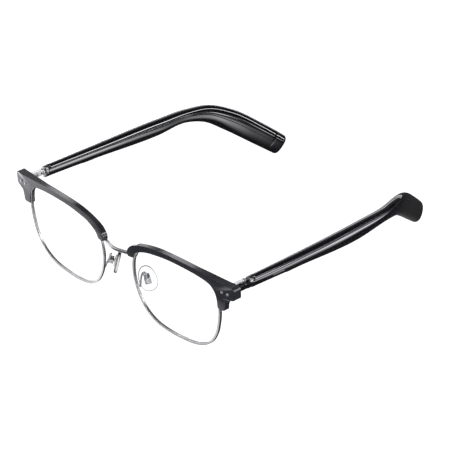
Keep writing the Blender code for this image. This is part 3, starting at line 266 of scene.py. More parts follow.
def mix_colour(tree, fac, first, second):
    mix = tree.nodes.new("ShaderNodeMix")
    mix.data_type = "RGBA"
    tree.links.new(fac, mix.inputs["Factor"])
    for socket, colour in ((mix.inputs[6], first), (mix.inputs[7], second)):
        if isinstance(colour, tuple):
            socket.default_value = (*colour, 1.0)
        else:
            tree.links.new(colour, socket)
    return mix.outputs[2]


def maths(tree, operation, first, second=None):
    made = tree.nodes.new("ShaderNodeMath")
    made.operation = operation
    for socket, value in zip(made.inputs, (first, second)):
        if value is None:
            continue
        if isinstance(value, (int, float)):
            socket.default_value = value
        else:
            tree.links.new(value, socket)
    return made.outputs[0]


def bump(tree, shader, height, strength, distance):
    made = tree.nodes.new("ShaderNodeBump")
    set_inputs(made, {"Strength": strength, "Distance": distance})
    tree.links.new(height, made.inputs["Height"])
    tree.links.new(made.outputs["Normal"], shader.inputs["Normal"])


def edge_wear(tree):
    """Close to 1 on convex edges, near 0.5 elsewhere."""
    geometry = tree.nodes.new("ShaderNodeNewGeometry")
    return geometry.outputs["Pointiness"]


# ---- materials ----
# Noise scales are in cells per metre, bump depths in metres.
FINE_BUMP = 0.00002
SMEAR_STRETCH = (1.0, 1.0, 0.4)
# Painted shade along the edges of clear pieces: its colour, the facing range it fades in over, the side
# where it is strongest and its share on the opposite side.
PAINTED_OUTLINE_SHADE = (0.02, 0.02, 0.02)
PAINTED_OUTLINE_FACING = (0.06, 0.2)
PAINTED_OUTLINE_SHADED_SIDE = (-0.74, -0.25, 0.61)
PAINTED_OUTLINE_LOWER_SHARE = 0.4
SHADOW_TINT = (0.9, 0.9, 0.9, 1.0)
LENS_CLEAR = (0.992, 0.995, 0.995, 1.0)
LENS_COATING_IOR = 1.18
LENS_REFLECTION = 0.5


def polished_metal(name, colour, rough_low, rough_high, streak=EVEN):
    """Metal with a faintly clouded tone, fine polishing grain and lighter worn edges."""
    mat, tree, shader = new_material(name)
    shader.inputs["Metallic"].default_value = 1.0
    cloud = noise(tree, 90.0, 2.0)
    grain = noise(tree, 2600.0, 4.0, streak)
    tone = mix_colour(tree, cloud, scaled(colour, 0.93), colour)
    worn = ramp(tree, edge_wear(tree), 0.52, 0.62, 0.0, 1.0)
    tree.links.new(mix_colour(tree, worn, tone, scaled(colour, 1.08)), shader.inputs["Base Color"])
    tree.links.new(ramp(tree, grain, 0.35, 0.7, rough_low, rough_high), shader.inputs["Roughness"])
    bump(tree, shader, grain, 0.04, FINE_BUMP)
    return mat


def gloss_plastic(name, colour, rough):
    """Moulded piano black: a clear, slightly uneven lacquer with faint polishing haze and dust."""
    mat, tree, shader = new_material(name)
    cloud = noise(tree, 60.0, 3.0)
    haze = noise(tree, 900.0, 5.0, (1.0, 0.12, 1.0))
    peel = noise(tree, 420.0, 1.0)
    specks = ramp(tree, noise(tree, 5200.0, 2.0), 0.76, 0.82, 0.0, 1.0)
    dust = tuple(c + 0.012 for c in colour)
    tone = mix_colour(tree, cloud, scaled(colour, 0.8), scaled(colour, 1.25))
    tree.links.new(mix_colour(tree, specks, tone, dust), shader.inputs["Base Color"])
    tree.links.new(ramp(tree, haze, 0.3, 0.8, rough, rough * 2.2), shader.inputs["Roughness"])
    set_inputs(shader, {"IOR": 1.65, "Coat Weight": 1.0, "Coat Roughness": 0.03})
    bump(tree, shader, peel, 0.03, 0.00003)
    return mat


def satin_plastic(name, colour, rough):
    """Satin lacquer: fine grain, softly varying sheen and slightly polished edges."""
    mat, tree, shader = new_material(name)
    cloud = noise(tree, 45.0, 3.0)
    grain = noise(tree, 7000.0, 3.0, EVEN, 0.65)
    tone = mix_colour(tree, cloud, scaled(colour, 0.88), scaled(colour, 1.12))
    worn = ramp(tree, edge_wear(tree), 0.53, 0.66, 0.0, 0.55)
    tree.links.new(mix_colour(tree, worn, tone, scaled(colour, 1.9)), shader.inputs["Base Color"])
    sheen = ramp(tree, grain, 0.3, 0.7, rough * 0.85, rough * 1.2)
    polish = maths(tree, "MULTIPLY", worn, 0.12)
    tree.links.new(maths(tree, "SUBTRACT", sheen, polish), shader.inputs["Roughness"])
    shader.inputs["IOR"].default_value = 1.6
    bump(tree, shader, grain, 0.06, FINE_BUMP)
    return mat


def blend_surface(tree, share, first, second, output="Material Output"):
    """The surface is the first shader, or the second by the given share."""
    mix = tree.nodes.new("ShaderNodeMixShader")
    for socket, source in zip(mix.inputs, (share, first.outputs[0], second.outputs[0])):
        tree.links.new(source, socket)
    tree.links.new(mix.outputs[0], tree.nodes[output].inputs["Surface"])


def see_through(tree, tint):
    clear = tree.nodes.new("ShaderNodeBsdfTransparent")
    clear.inputs["Color"].default_value = tint
    return clear


def lens_material(name):
    """Thin clear lens with an anti-reflection coating: see-through, a faint reflection, light smears."""
    mat, tree, shader = new_material(name)
    smear = noise(tree, 55.0, 4.0, SMEAR_STRETCH)
    shader.inputs["Metallic"].default_value = 1.0
    coating = mix_colour(tree, smear, (0.80, 0.92, 0.86), (0.90, 0.94, 0.98))
    tree.links.new(coating, shader.inputs["Base Color"])
    tree.links.new(ramp(tree, smear, 0.4, 0.75, 0.01, 0.09), shader.inputs["Roughness"])
    fresnel = tree.nodes.new("ShaderNodeFresnel")
    fresnel.inputs["IOR"].default_value = LENS_COATING_IOR
    geometry = tree.nodes.new("ShaderNodeNewGeometry")
    outer_side = maths(tree, "SUBTRACT", 1.0, geometry.outputs["Backfacing"])
    strength = maths(tree, "MULTIPLY", fresnel.outputs[0], LENS_REFLECTION)
    blend_surface(tree, maths(tree, "MULTIPLY", strength, outer_side), see_through(tree, LENS_CLEAR), shader)
    return mat


def painted_outline_shade(tree, strength):
    """Painted shade on a clear piece: how dark its colour is made where its surface turns away from the eye,
    most on its upper side.
    """
    facing = tree.nodes.new("ShaderNodeLayerWeight")
    facing.inputs["Blend"].default_value = 0.5
    turned_away = ramp(tree, facing.outputs["Facing"], *PAINTED_OUTLINE_FACING, 0.0, strength)
    surface = tree.nodes.new("ShaderNodeNewGeometry")
    lean = tree.nodes.new("ShaderNodeVectorMath")
    lean.operation = "DOT_PRODUCT"
    lean.inputs[1].default_value = PAINTED_OUTLINE_SHADED_SIDE
    tree.links.new(surface.outputs["Normal"], lean.inputs[0])
    upper = ramp(tree, lean.outputs["Value"], -0.4, 0.25, PAINTED_OUTLINE_LOWER_SHARE, 1.0)
    return maths(tree, "MULTIPLY", turned_away, upper)


def clear_material(name, tint, ior, rough, outline):
    """Refracting for what the eye sees; shadows pass straight through, slightly dimmed."""
    mat, tree, shader = new_material(name)
    set_inputs(shader, {"IOR": ior, "Transmission Weight": 1.0})
    smear = noise(tree, 75.0, 4.0, SMEAR_STRETCH)
    tree.links.new(ramp(tree, smear, 0.35, 0.75, rough * 0.5, rough * 1.6), shader.inputs["Roughness"])
    tone = mix_colour(tree, smear, tint, scaled(tint, 1.01))
    # Painted shade: the colour darkens to near black along the edge where the surface turns away from the
    # eye, most on its upper side.
    with_painted_outline = mix_colour(tree, painted_outline_shade(tree, outline), tone, PAINTED_OUTLINE_SHADE)
    tree.links.new(with_painted_outline, shader.inputs["Base Color"])
    path = tree.nodes.new("ShaderNodeLightPath")
    unseen = maths(tree, "MAXIMUM", path.outputs["Is Shadow Ray"], path.outputs["Is Diffuse Ray"])
    blend_surface(tree, unseen, shader, see_through(tree, SHADOW_TINT))
    return mat


def circuit_board(name):
    """Green lacquer over a fine grid of tracks."""
    mat, tree, shader = new_material(name)
    brick = tree.nodes.new("ShaderNodeTexBrick")
    tree.links.new(coordinate(tree), brick.inputs["Vector"])
    greens = {"Color1": (0.02, 0.16, 0.07, 1.0), "Color2": (0.03, 0.22, 0.10, 1.0)}
    set_inputs(brick, {"Scale": 420.0, **greens, "Mortar": (0.45, 0.34, 0.12, 1.0)})
    tree.links.new(brick.outputs["Color"], shader.inputs["Base Color"])
    tree.links.new(ramp(tree, noise(tree, 800.0), 0.3, 0.7, 0.35, 0.6), shader.inputs["Roughness"])
    return mat


def woven_mesh(name):
    """Dark mesh of crossing threads."""
    mat, tree, shader = new_material(name)
    waves = []
    for direction in ("X", "Y"):
        wave = tree.nodes.new("ShaderNodeTexWave")
        wave.bands_direction = direction
        wave.inputs["Scale"].default_value = 900.0
        tree.links.new(coordinate(tree), wave.inputs["Vector"])
        waves.append(wave.outputs["Fac"])
    weave = maths(tree, "MULTIPLY", *waves)
    threads = mix_colour(tree, weave, (0.01, 0.01, 0.011), (0.07, 0.07, 0.075))
    tree.links.new(threads, shader.inputs["Base Color"])
    tree.links.new(ramp(tree, weave, 0.0, 1.0, 0.75, 0.45), shader.inputs["Roughness"])
    bump(tree, shader, weave, 0.4, 0.00005)
    return mat


MATS = {
    "steel": polished_metal("polished_steel", (0.46, 0.46, 0.465), 0.22, 0.32),
    "hinge": polished_metal("bright_hinge_steel", (0.58, 0.58, 0.585), 0.2, 0.28, (1.0, 0.1, 1.0)),
    "bright_steel": polished_metal("bright_steel", (0.55, 0.55, 0.555), 0.26, 0.38),
    "rivet": polished_metal("dull_rivet", (0.50, 0.50, 0.51), 0.5, 0.65),
    "collar": polished_metal("satin_collar", (0.24, 0.24, 0.245), 0.25, 0.36),
    "badge": polished_metal("dull_inlay", (0.16, 0.16, 0.165), 0.35, 0.5),
    "dark_steel": polished_metal("dark_steel", (0.22, 0.22, 0.23), 0.2, 0.34),
    "gold": polished_metal("gold_contact", (0.20, 0.15, 0.07), 0.3, 0.4),
    "foil": polished_metal("battery_foil", (0.66, 0.67, 0.69), 0.25, 0.4),
    "gloss": gloss_plastic("piano_black", (0.004, 0.004, 0.0065), 0.045),
    "slate": satin_plastic("satin_slate", (0.031, 0.032, 0.038), 0.16),
    "lens": lens_material("clear_lens"),
    # The last number of a clear material is the strength of its painted dark outline.
    "silicone": clear_material("clear_silicone", (0.97, 0.97, 0.97), 1.42, 0.015, 0.95),
    "pipe": clear_material("light_pipe", (0.92, 0.94, 0.92), 1.49, 0.02, 0.0),
    "board": circuit_board("circuit_board"),
    "speaker": woven_mesh("speaker_mesh"),
}


# ---- mesh helpers ----
def finish(name, bm, mat, body, stands_for):
    """Makes the object: its material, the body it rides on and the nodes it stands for."""
    bmesh.ops.recalc_face_normals(bm, faces=bm.faces[:])
    mesh = bpy.data.meshes.new(name)
    bm.to_mesh(mesh)
    bm.free()
    mesh.materials.append(MATS[mat])
    for poly in mesh.polygons:
        poly.use_smooth = True
    obj = bpy.data.objects.new(name, mesh)
    bpy.context.scene.collection.objects.link(obj)
    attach(obj, body)
    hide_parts(*stands_for)
    return obj


def skin_into(bm, rings, closed=False):
    """Joins equal rings of wearer's-frame points into a tube; open tubes get end caps."""
    rows = [[bm.verts.new(Vector(p)) for p in to_world(ring)] for ring in rings]
    count = len(rings[0])
    pairs = list(zip(rows[:-1], rows[1:]))
    if closed:
        pairs.append((rows[-1], rows[0]))
    for low, high in pairs:
        for i in range(count):
            j = (i + 1) % count
            bm.faces.new((low[i], low[j], high[j], high[i]))
    if not closed:
        bm.faces.new(rows[0])
        bm.faces.new(rows[-1])


def skin(name, rings, mat, body, stands_for, closed=False):
    bm = bmesh.new()
    skin_into(bm, rings, closed)
    return finish(name, bm, mat, body, stands_for)


def soften(obj, width, segments=3, angle=32.0):
    mod = obj.modifiers.new("soft_edges", "BEVEL")
    mod.width = width * MM
    mod.segments = segments
    mod.limit_method = "ANGLE"
    mod.angle_limit = math.radians(angle)
    mod.harden_normals = True


def turned_rings(profile, centre, first, second, axis, sides):
    """Rings of a turned shape, from (radius, height) pairs about the axis."""
    rings = []
    for radius, height in profile:
        angles = [2 * math.pi * k / sides for k in range(sides)]
        rings.append([
            centre + (first * math.cos(angle) + second * math.sin(angle)) * radius + axis * height
            for angle in angles
        ])
    return rings


def signed_power(value, power):
    return math.copysign(abs(value) ** power, value)


def ease(value, low, high):
    """0 up to low, 1 from high, smooth between."""
    u = min(max((value - low) / (high - low), 0.0), 1.0)
    return u * u * (3 - 2 * u)


def smooth_path(points, steps, closed=False):
    """Catmull-Rom points through the control points, steps per span."""
    pts = np.asarray(points, float)
    n = len(pts)
    spans = n if closed else n - 1
    out = []
    for i in range(spans):
        if closed:
            p0, p1, p2, p3 = (pts[(i + k - 1) % n] for k in range(4))
        else:
            p1, p2 = pts[i], pts[i + 1]
            p0 = pts[i - 1] if i > 0 else 2 * p1 - p2
            p3 = pts[i + 2] if i + 2 < n else 2 * p2 - p1
        for u in np.linspace(0, 1, steps, endpoint=False):
            a = 2 * p1
            b = p2 - p0
            c = 2 * p0 - 5 * p1 + 4 * p2 - p3
            d = -p0 + 3 * p1 - 3 * p2 + p3
            out.append(0.5 * (a + b * u + c * u**2 + d * u**3))
    if not closed:
        out.append(pts[-1])
    return np.array(out)


def even_outline(points, count):
    """Points at even distances along the closed curve through the given ones."""
    dense = smooth_path(points, 24, closed=True)
    dense = np.vstack([dense, dense[:1]])
    length = np.concatenate([[0.0], np.cumsum(np.linalg.norm(np.diff(dense, axis=0), axis=1))])
    at = np.linspace(0, length[-1], count, endpoint=False)
    return np.stack([np.interp(at, length, dense[:, k]) for k in range(2)], axis=1)


def outward_normals(outline):
    tangent = np.roll(outline, -1, axis=0) - np.roll(outline, 1, axis=0)
    tangent /= np.linalg.norm(tangent, axis=1)[:, None]
    return np.stack([tangent[:, 1], -tangent[:, 0]], axis=1)


def hermite_path(keys, values, at):
    """Smooth value at a place on a path given by its keys."""
    keys = np.asarray(keys, float)
    values = np.asarray(values, float)
    slopes = np.gradient(values, keys, axis=0)
    i = int(np.clip(np.searchsorted(keys, at) - 1, 0, len(keys) - 2))
    span = keys[i + 1] - keys[i]
    u = (at - keys[i]) / span
    h00 = 2 * u**3 - 3 * u**2 + 1
    h10 = u**3 - 2 * u**2 + u
    h01 = -2 * u**3 + 3 * u**2
    h11 = u**3 - u**2
    return h00 * values[i] + h10 * span * slopes[i] + h01 * values[i + 1] + h11 * span * slopes[i + 1]


def rounded_box_profile(half_a, half_b, radius, segments=3):
    """Rectangle with rounded corners, as (a, b) points."""
    out = []
    for sa, sb, start in ((1, 1, 0), (-1, 1, 90), (-1, -1, 180), (1, -1, 270)):
        for k in range(segments + 1):
            angle = math.radians(start + 90 * k / segments)
            a = sa * (half_a - radius) + radius * math.cos(angle)
            b = sb * (half_b - radius) + radius * math.sin(angle)
            out.append((a, b))
    return out


# ---- front ----
def rim_y(x, z):
    return RIM_PLANE_Y + (x - RIM_PLANE_X) * WRAP_SLOPE - (z - LENS_CENTRE[1]) * TILT_SLOPE


def front_point(side, x, z, depth=0.0):
    return (side * x, rim_y(x, z) + depth, z)


RIM_FINE = even_outline(RIM_OUTLINE, 720) + LENS_CENTRE
RIM_FINE_NORMALS = outward_normals(RIM_FINE)
RIM_FINE_ANGLES = np.degrees(np.arctan2(RIM_FINE[:, 1] - LENS_CENTRE[1], RIM_FINE[:, 0] - LENS_CENTRE[0]))


def rim_at_angle(angle):
    order = np.argsort(RIM_FINE_ANGLES)
    out = [
        np.interp(angle, RIM_FINE_ANGLES[order], values[order], period=360)
        for values in (RIM_FINE[:, 0], RIM_FINE[:, 1], RIM_FINE_NORMALS[:, 0], RIM_FINE_NORMALS[:, 1])
    ]
    return np.array(out[:2]), np.array(out[2:])


def build_eyewire(side, label):
    """Flattened wire with soft corners and a shallow V on the lens side."""
    half_r = WIRE_RADIAL / 2
    half_d = WIRE_DEPTH / 2
    lens_side = 0.05 - half_r
    profile = [
        (r if r > lens_side else r + WIRE_VEE * (1 - abs(d) / half_d), d)
        for r, d in rounded_box_profile(half_r, half_d, WIRE_CORNER, 4)
    ]
    rings = []
    for point, normal in zip(RIM_FINE[::3], RIM_FINE_NORMALS[::3]):
        rings.append([front_point(side, *(point + normal * r), d) for r, d in profile])
    skin(label + "_eyewire", rings, "bright_steel", "front", [label + "_rim"], closed=True)


def build_lens(side, label):
    """Lens held by the eyewire: bulged to the front, with a bevelled edge."""
    normals = RIM_FINE_NORMALS[::4]
    edge = RIM_FINE[::4] - normals * (WIRE_RADIAL / 2 - LENS_OVERLAP)
    half = LENS_EDGE / 2
    inset, depth_step = LENS_BEVEL

    def ring(scale, depth, shrink=0.0):
        bulge = LENS_BULGE * (1 - scale**2)
        shape = LENS_CENTRE + (edge - normals * shrink - LENS_CENTRE) * scale
        return [front_point(side, x, z, depth - bulge) for x, z in shape]

    rings = [ring(scale, -half) for scale in LENS_SCALES[:0:-1]]
    rings += [ring(1.0, -half, inset), ring(1.0, depth_step - half)]
    rings += [ring(1.0, half - depth_step), ring(1.0, half, inset)]
    rings += [ring(scale, half) for scale in LENS_SCALES[1:]]
    skin(label + "_lens_blank", rings, "lens", "front", [label + "_lens"])


def brow_inner_back(x):
    return BROW_BACK_END + (BROW_BACK - BROW_BACK_END) * ease(x, *BROW_BACK_RUN)


def brow_depths(x, z):
    """Front and back of the brow's outer edge, measured from the rim's plane."""
    front = BROW_FRONT + END_PIECE_SWEEP * max(x - END_PIECE_SWEEP_X, 0.0) ** 2
    front += BROW_FRONT_END * (1 - ease(x, *BROW_FRONT_RUN))
    growth = END_PIECE_GROWTH * max(x - END_PIECE_FROM_X, 0.0) * ease(z, *END_PIECE_RUN_Z)
    return front, brow_inner_back(x) + growth


def build_brow(side, label):
    """Bar over the eyewire: a C section that holds the wire, widening into the end piece."""
    rings = []
    for angle, outer_x, outer_z in smooth_path(BROW_STATIONS, 5):
        mid, normal = rim_at_angle(angle)
        inner = mid - normal * BROW_INSET
        outer = np.array([outer_x, outer_z])
        front, back = brow_depths(outer_x, outer_z)
        inner_front = min(BROW_FRONT, front)
        inner_back = brow_inner_back(outer_x)
        groove = inner + normal * GROOVE_DEEP
        ring = []
        shares = [k / BROW_FACE_STEPS for k in range(BROW_FACE_STEPS + 1)]
        for u in shares:
            crown = BROW_CROWN * math.sin(math.pi * u)
            ring.append((inner + (outer - inner) * u, inner_front + (front - inner_front) * u - crown))
        for u in shares:
            ring.append((outer + (inner - outer) * u, back + (inner_back - back) * u))
        ring += [(inner, GROOVE_HALF), (groove, GROOVE_HALF)]
        ring += [(groove, -GROOVE_HALF), (inner, -GROOVE_HALF)]
        rings.append([front_point(side, p[0], p[1], depth) for p, depth in ring])
    brow = skin(label + "_brow_bar", rings, "slate", "front", [label + "_brow"])
    soften(brow, BROW_EDGE)
    for order, (x, z) in RIVETS.items():
        build_rivet(side, label, order, x, z)


def build_rivet(side, label, order, x, z):
    """Flush rivet head: a low dome with a softened rim, on a short shank."""
    front, back = brow_depths(x, z)
    face = np.array(front_point(side, x, z, front))
    turned = [(RIVET_HEAD[0][0], front - back)] + RIVET_HEAD
    profile = [(RIVET_RADIUS * share, height) for share, height in turned]
    across, up, forwards = np.array([(1.0, 0.0, 0.0), (0.0, 0.0, 1.0), (0.0, -1.0, 0.0)])
    rings = turned_rings(profile, face, across, up, forwards, 32)
    skin(f"{label}_rivet_head_{order}", rings, "rivet", "front", [f"{label}_rivet_{order}"])


def build_bridge():
    """Bar between the eyewires, bowed forwards and slightly arched."""
    profile = rounded_box_profile(BRIDGE_DEPTH / 2, BRIDGE_HEIGHT / 2, BRIDGE_CORNER, 4)
    up = np.array([0.0, 0.0, 1.0])
    rings = []
    for x in np.linspace(-BRIDGE_END_X, BRIDGE_END_X, 61):
        rise = math.cos(math.pi * x / (2 * BRIDGE_END_X)) ** 2
        y = BRIDGE_Y - BRIDGE_BOW * rise
        z = BRIDGE_Z + BRIDGE_ARCH * rise
        slope = BRIDGE_BOW * math.pi / (2 * BRIDGE_END_X) * math.sin(math.pi * x / BRIDGE_END_X)
        along = np.array([1.0, slope, 0.0]) / math.hypot(1.0, slope)
        across = np.array([-along[1], along[0], 0.0])
        rings.append([np.array([x, y, z]) + across * d + up * h for d, h in profile])
    skin("bridge_bar", rings, "bright_steel", "front", ["bridge"])


# ---- nose pads ----
def mirrored(side, point):
    """The point or direction on the wearer's left (side 1) or right (side -1)."""
    return np.array(point) * (side, 1.0, 1.0)


def pad_axes(side):
    """Directions along the pad, out of its face towards the nose, and across it."""
    long_axis = mirrored(side, PAD_LONG)
    long_axis /= np.linalg.norm(long_axis)
    face = mirrored(side, PAD_FACE)
    face -= long_axis * face.dot(long_axis)
    face /= np.linalg.norm(face)
    return long_axis, face, np.cross(long_axis, face)


def pad_place(side, along=0.0, out=0.0, across=0.0):
    """Point measured from the pad's screw along the pad's own directions."""
    long_axis, face, cross = pad_axes(side)
    return mirrored(side, PAD_SCREW) + long_axis * along + face * out + cross * across


def tube(path, radius, first_across, sides):
    """Rings of a round wire along a path, with its frame carried along."""
    rings = []
    across = np.array(first_across, float)
    for i, point in enumerate(path):
        tangent = path[min(i + 1, len(path) - 1)] - path[max(i - 1, 0)]
        tangent /= np.linalg.norm(tangent)
        across = across - tangent * across.dot(tangent)
        across /= np.linalg.norm(across)
        other = np.cross(tangent, across)
        ring = []
        for k in range(sides):
            angle = 2 * math.pi * k / sides
            ring.append(point + (across * math.cos(angle) + other * math.sin(angle)) * radius)
        rings.append(ring)
    return rings


def build_pad_arm(side, label):
    """Wire from the eyewire up, over and into the pad's clip."""
    keys = [mirrored(side, point) for point in PAD_WIRE]
    keys += [pad_place(side, along, CLIP_BACK) for along in PAD_WIRE_END]
    rings = tube(smooth_path(keys, 10), PAD_WIRE_RADIUS, (side, 0.0, 0.25), 16)
    skin(label + "_pad_wire", rings, "steel", "front", [label + "_pad_arm"])


def block(centre, half, radius, axes):
    """Rings of a rounded block: half sizes along the three axes."""
    rounding = radius * 0.7
    profile_full = rounded_box_profile(half[1], half[2], radius)
    profile_end = rounded_box_profile(half[1] - rounding, half[2] - rounding, radius - rounding)
    stations = (
        (-half[0], profile_end), (rounding - half[0], profile_full),
        (half[0] - rounding, profile_full), (half[0], profile_end),
    )
    return [
        [centre + axes[0] * along + axes[1] * a + axes[2] * b for a, b in profile]
        for along, profile in stations
    ]


def build_pad_holder(side, label):
    """Two cheeks and a back joined in one clip, with the screw through both cheeks."""
    axes = pad_axes(side)
    bm = bmesh.new()
    for across in (-CLIP_CHEEK_ACROSS, CLIP_CHEEK_ACROSS):
        place = pad_place(side, 0.0, CLIP_CHEEK_OUT, across)
        skin_into(bm, block(place, CLIP_CHEEK_HALF, CLIP_CORNER, axes))
    skin_into(bm, block(pad_place(side, 0.0, CLIP_BACK), CLIP_BACK_HALF, CLIP_CORNER, axes))
    holder = finish(label + "_pad_clip", bm, "steel", "front", [label + "_pad_box"])
    soften(holder, 0.05, 2)


def build_nose_pad(side, label):
    """Clear pad: a soft D outline, flat on the mounting side and domed towards the nose."""
    long_axis, face, cross = pad_axes(side)
    centre = pad_place(side, 0.2, PAD_OFFSET)
    edge_angles = [math.radians(-90 + 180 * k / 8) for k in range(9)]
    edge = [(1.0 - PAD_EDGE + PAD_EDGE * math.cos(angle), math.sin(angle)) for angle in edge_angles]
    rings = []
    for scale, height in PAD_FLAT_SIDE + edge + PAD_DOMED_SIDE:
        base = centre + face * height * PAD_THICK / 2 * PAD_DEPTH_SHARE
        ring = []
        for k in range(72):
            angle = 2 * math.pi * k / 72
            c, s = math.cos(angle), math.sin(angle)
            along = signed_power(c, PAD_SQUARENESS) * PAD_LENGTH / 2 * scale
            wide = signed_power(s, PAD_SQUARENESS) * PAD_WIDTH / 2 * scale * (1.0 + PAD_TAPER * c)
            ring.append(base + long_axis * along + cross * wide)
        rings.append(ring)
    skin(label + "_clear_pad", rings, "silicone", label + "_pad", [label + "_nose_pad"])


# ---- temples ----
ARM_POINTS = np.array([(x, y, z) for y, x, z, _w, _h in TEMPLE_STATIONS], float)
ARM_SIZES = np.array([(w / 2, h / 2) for _y, _x, _z, w, h in TEMPLE_STATIONS], float)
ARM_KEYS = np.concatenate([[0.0], np.cumsum(np.linalg.norm(np.diff(ARM_POINTS, axis=0), axis=1))])
ARM_DENSE_KEYS = np.linspace(0.0, ARM_KEYS[-1], 900)
ARM_DENSE_Y = np.array([hermite_path(ARM_KEYS, ARM_POINTS, key)[1] for key in ARM_DENSE_KEYS])


def arm_length_at(y):
    return float(np.interp(y, ARM_DENSE_Y, ARM_DENSE_KEYS))


def arm_frame(side, at):
    """Centre of the temple's section there, with its tangent, outward and upward directions."""
    centre = hermite_path(ARM_KEYS, ARM_POINTS, at)
    ahead = hermite_path(ARM_KEYS, ARM_POINTS, min(at + 0.2, ARM_KEYS[-1]))
    behind = hermite_path(ARM_KEYS, ARM_POINTS, max(at - 0.2, ARM_KEYS[0]))
    tangent = (ahead - behind) / np.linalg.norm(ahead - behind)
    outward = np.cross(tangent, (0.0, 0.0, 1.0))
    outward /= np.linalg.norm(outward)
    upward = np.cross(outward, tangent)
    return [mirrored(side, vector) for vector in (centre, tangent, outward, upward)]


def arm_points(side, at, shape):
    centre, _tangent, out_axis, up_axis = arm_frame(side, at)
    return [centre + out_axis * n + up_axis * b for n, b in shape]


def half_sizes(at):
    return hermite_path(ARM_KEYS, ARM_SIZES, at)


SEAM_Y = [row[0] for row in SEAM_STATIONS]


def seam_heights(y):
    """Height of the shell seam above the section centre, on the inner and on the outer side."""
    window = np.linspace(y - SEAM_BLEND, y + SEAM_BLEND, 11)
    inner = np.interp(window, SEAM_Y, [row[1] for row in SEAM_STATIONS]).mean()
    outer = np.interp(window, SEAM_Y, [row[2] for row in SEAM_STATIONS]).mean()
    return inner, outer


def section_angle(height, half_height):
    """Angle at which the section's outline reaches a height, on its outer side."""
    ratio = min(max(height / half_height, -0.999), 0.999)
    return math.asin(signed_power(ratio, SECTION_POWER / 2))


def section_point(half_width, half_height, angle):
    """Point on the section, a rounded box between an ellipse and a rectangle."""
    power = 2 / SECTION_POWER
    across = half_width * signed_power(math.cos(angle), power)
    return across, half_height * signed_power(math.sin(angle), power)


def section_arc(half_width, half_height, start, end, count):
    """Part of the section's outline, with two short steps at each end for the seam's lip."""
    step = SEAM_FIRST_STEP
    angles = [start, start + step]
    angles += list(np.linspace(start + 2 * step, end - 2 * step, count))
    angles += [end - step, end]
    return [section_point(half_width, half_height, angle) for angle in angles]


def station_ys(first, last, extra=()):
    """Places of the sections, with the extra ones kept and their near neighbours left out."""
    split_end, split_start = STATION_SPLIT
    ahead, behind = STATION_COUNTS
    ys = np.concatenate([np.linspace(first, split_end, ahead), np.linspace(split_start, last, behind)])
    ys = [y for y in ys if first < y < last and all(abs(y - e) > STATION_GAP for e in extra)]
    return sorted(ys + [first, last] + list(extra))


def seam_tuck(y):
    """The seam is a visible groove at the front and all but closes towards the tip."""
    return SEAM_TUCK - SEAM_TUCK_CLOSING * ease(y, *SEAM_TUCK_RUN)


def lip(arc, tuck):
    """Rolls both ends of an arc inwards a little, so that two shells meet in a fine groove."""
    arc = np.array(arc)
    for end, following in ((0, 1), (-1, -2)):
        inward = -arc[end] / np.linalg.norm(arc[end])
        arc[end] += inward * tuck
        arc[following] += inward * tuck * 0.25
    return [tuple(p) for p in arc]


def build_upper_shell(side, label):
    """Crest of the temple, above the seam."""
    rings = []
    for y in station_ys(SHELL_FRONT_Y, CAP_START_Y):
        at = arm_length_at(y)
        half_w, half_h = half_sizes(at)
        inner, outer = seam_heights(y)
        start = section_angle(outer + SEAM_GAP, half_h)
        end = math.pi - section_angle(inner + SEAM_GAP, half_h)
        arc = section_arc(half_w, half_h, start, end, 45)
        rings.append(arm_points(side, at, lip(arc, seam_tuck(y))))
    skin(label + "_upper_shell", rings, "gloss", label + "_temple", [label + "_temple_upper"])


def lower_shell_inside(y, arc, half_w, half_h, inner, outer):
    """Inner side of the lower shell: the open cavity, or a floor just under the seam at its ends."""
    n_in, n_out = arc[0][0], arc[-1][0]
    channel = half_w - WALL

    def seam_line(n):
        return inner + (outer - inner) * (n - n_in) / (n_out - n_in)

    near, far = seam_line(channel), seam_line(-channel)
    floor = CAVITY_FLOOR - CAVITY_SHARE * half_h
    if not CAVITY_START_Y < y < CAVITY_END_Y + 0.4:
        floor = min(near, far) - SOLID_FLOOR_GAP
    return [(channel, near), (channel, floor), (-channel, floor), (-channel, far)]


def narrowed_to_cover(y, shape, half_w, outer):
    """The shell's front end is a narrow cover along the outer side of the hinge."""
    nose = ease(y, COVER_FRONT_Y, COVER_FRONT_Y + COVER_NOSE_LENGTH)
    squeeze = COVER_WIDTH / (2 * half_w) * (1.0 - COVER_NOSE + COVER_NOSE * nose)
    return [(half_w - (half_w - n) * squeeze, COVER_LIFT + min(b, outer) * COVER_HEIGHT) for n, b in shape]


def build_lower_shell(side, label):
    """Underside of the temple up to the seam, with the cavity for the electronics."""
    extra = [
        COVER_FRONT_Y + 0.35, COVER_FRONT_Y + COVER_NOSE_LENGTH, SHELL_FRONT_Y - 0.12, SHELL_FRONT_Y,
        CAVITY_START_Y, CAVITY_START_Y + 0.5, CAVITY_END_Y, CAVITY_END_Y + 0.5,
    ]
    rings = []
    for y in station_ys(COVER_FRONT_Y, CAP_START_Y, extra):
        at = arm_length_at(y)
        half_w, half_h = half_sizes(at)
        inner, outer = (height - SEAM_GAP for height in seam_heights(y))
        start = math.pi - section_angle(inner, half_h)
        end = 2 * math.pi + section_angle(outer, half_h)
        arc = section_arc(half_w, half_h, start, end, 57)
        inside = lower_shell_inside(y, arc, half_w, half_h, inner, outer)
        if y < SHELL_FRONT_Y - 0.01:
            shape = narrowed_to_cover(y, arc + inside, half_w, outer)
        else:
            shape = lip(arc, seam_tuck(y)) + inside
        rings.append(arm_points(side, at, shape))
    body, node = label + "_temple", label + "_temple_lower"
    shell = skin(label + "_lower_shell", rings, "gloss", body, [node])
    soften(shell, SHELL_EDGE, 2, 50.0)


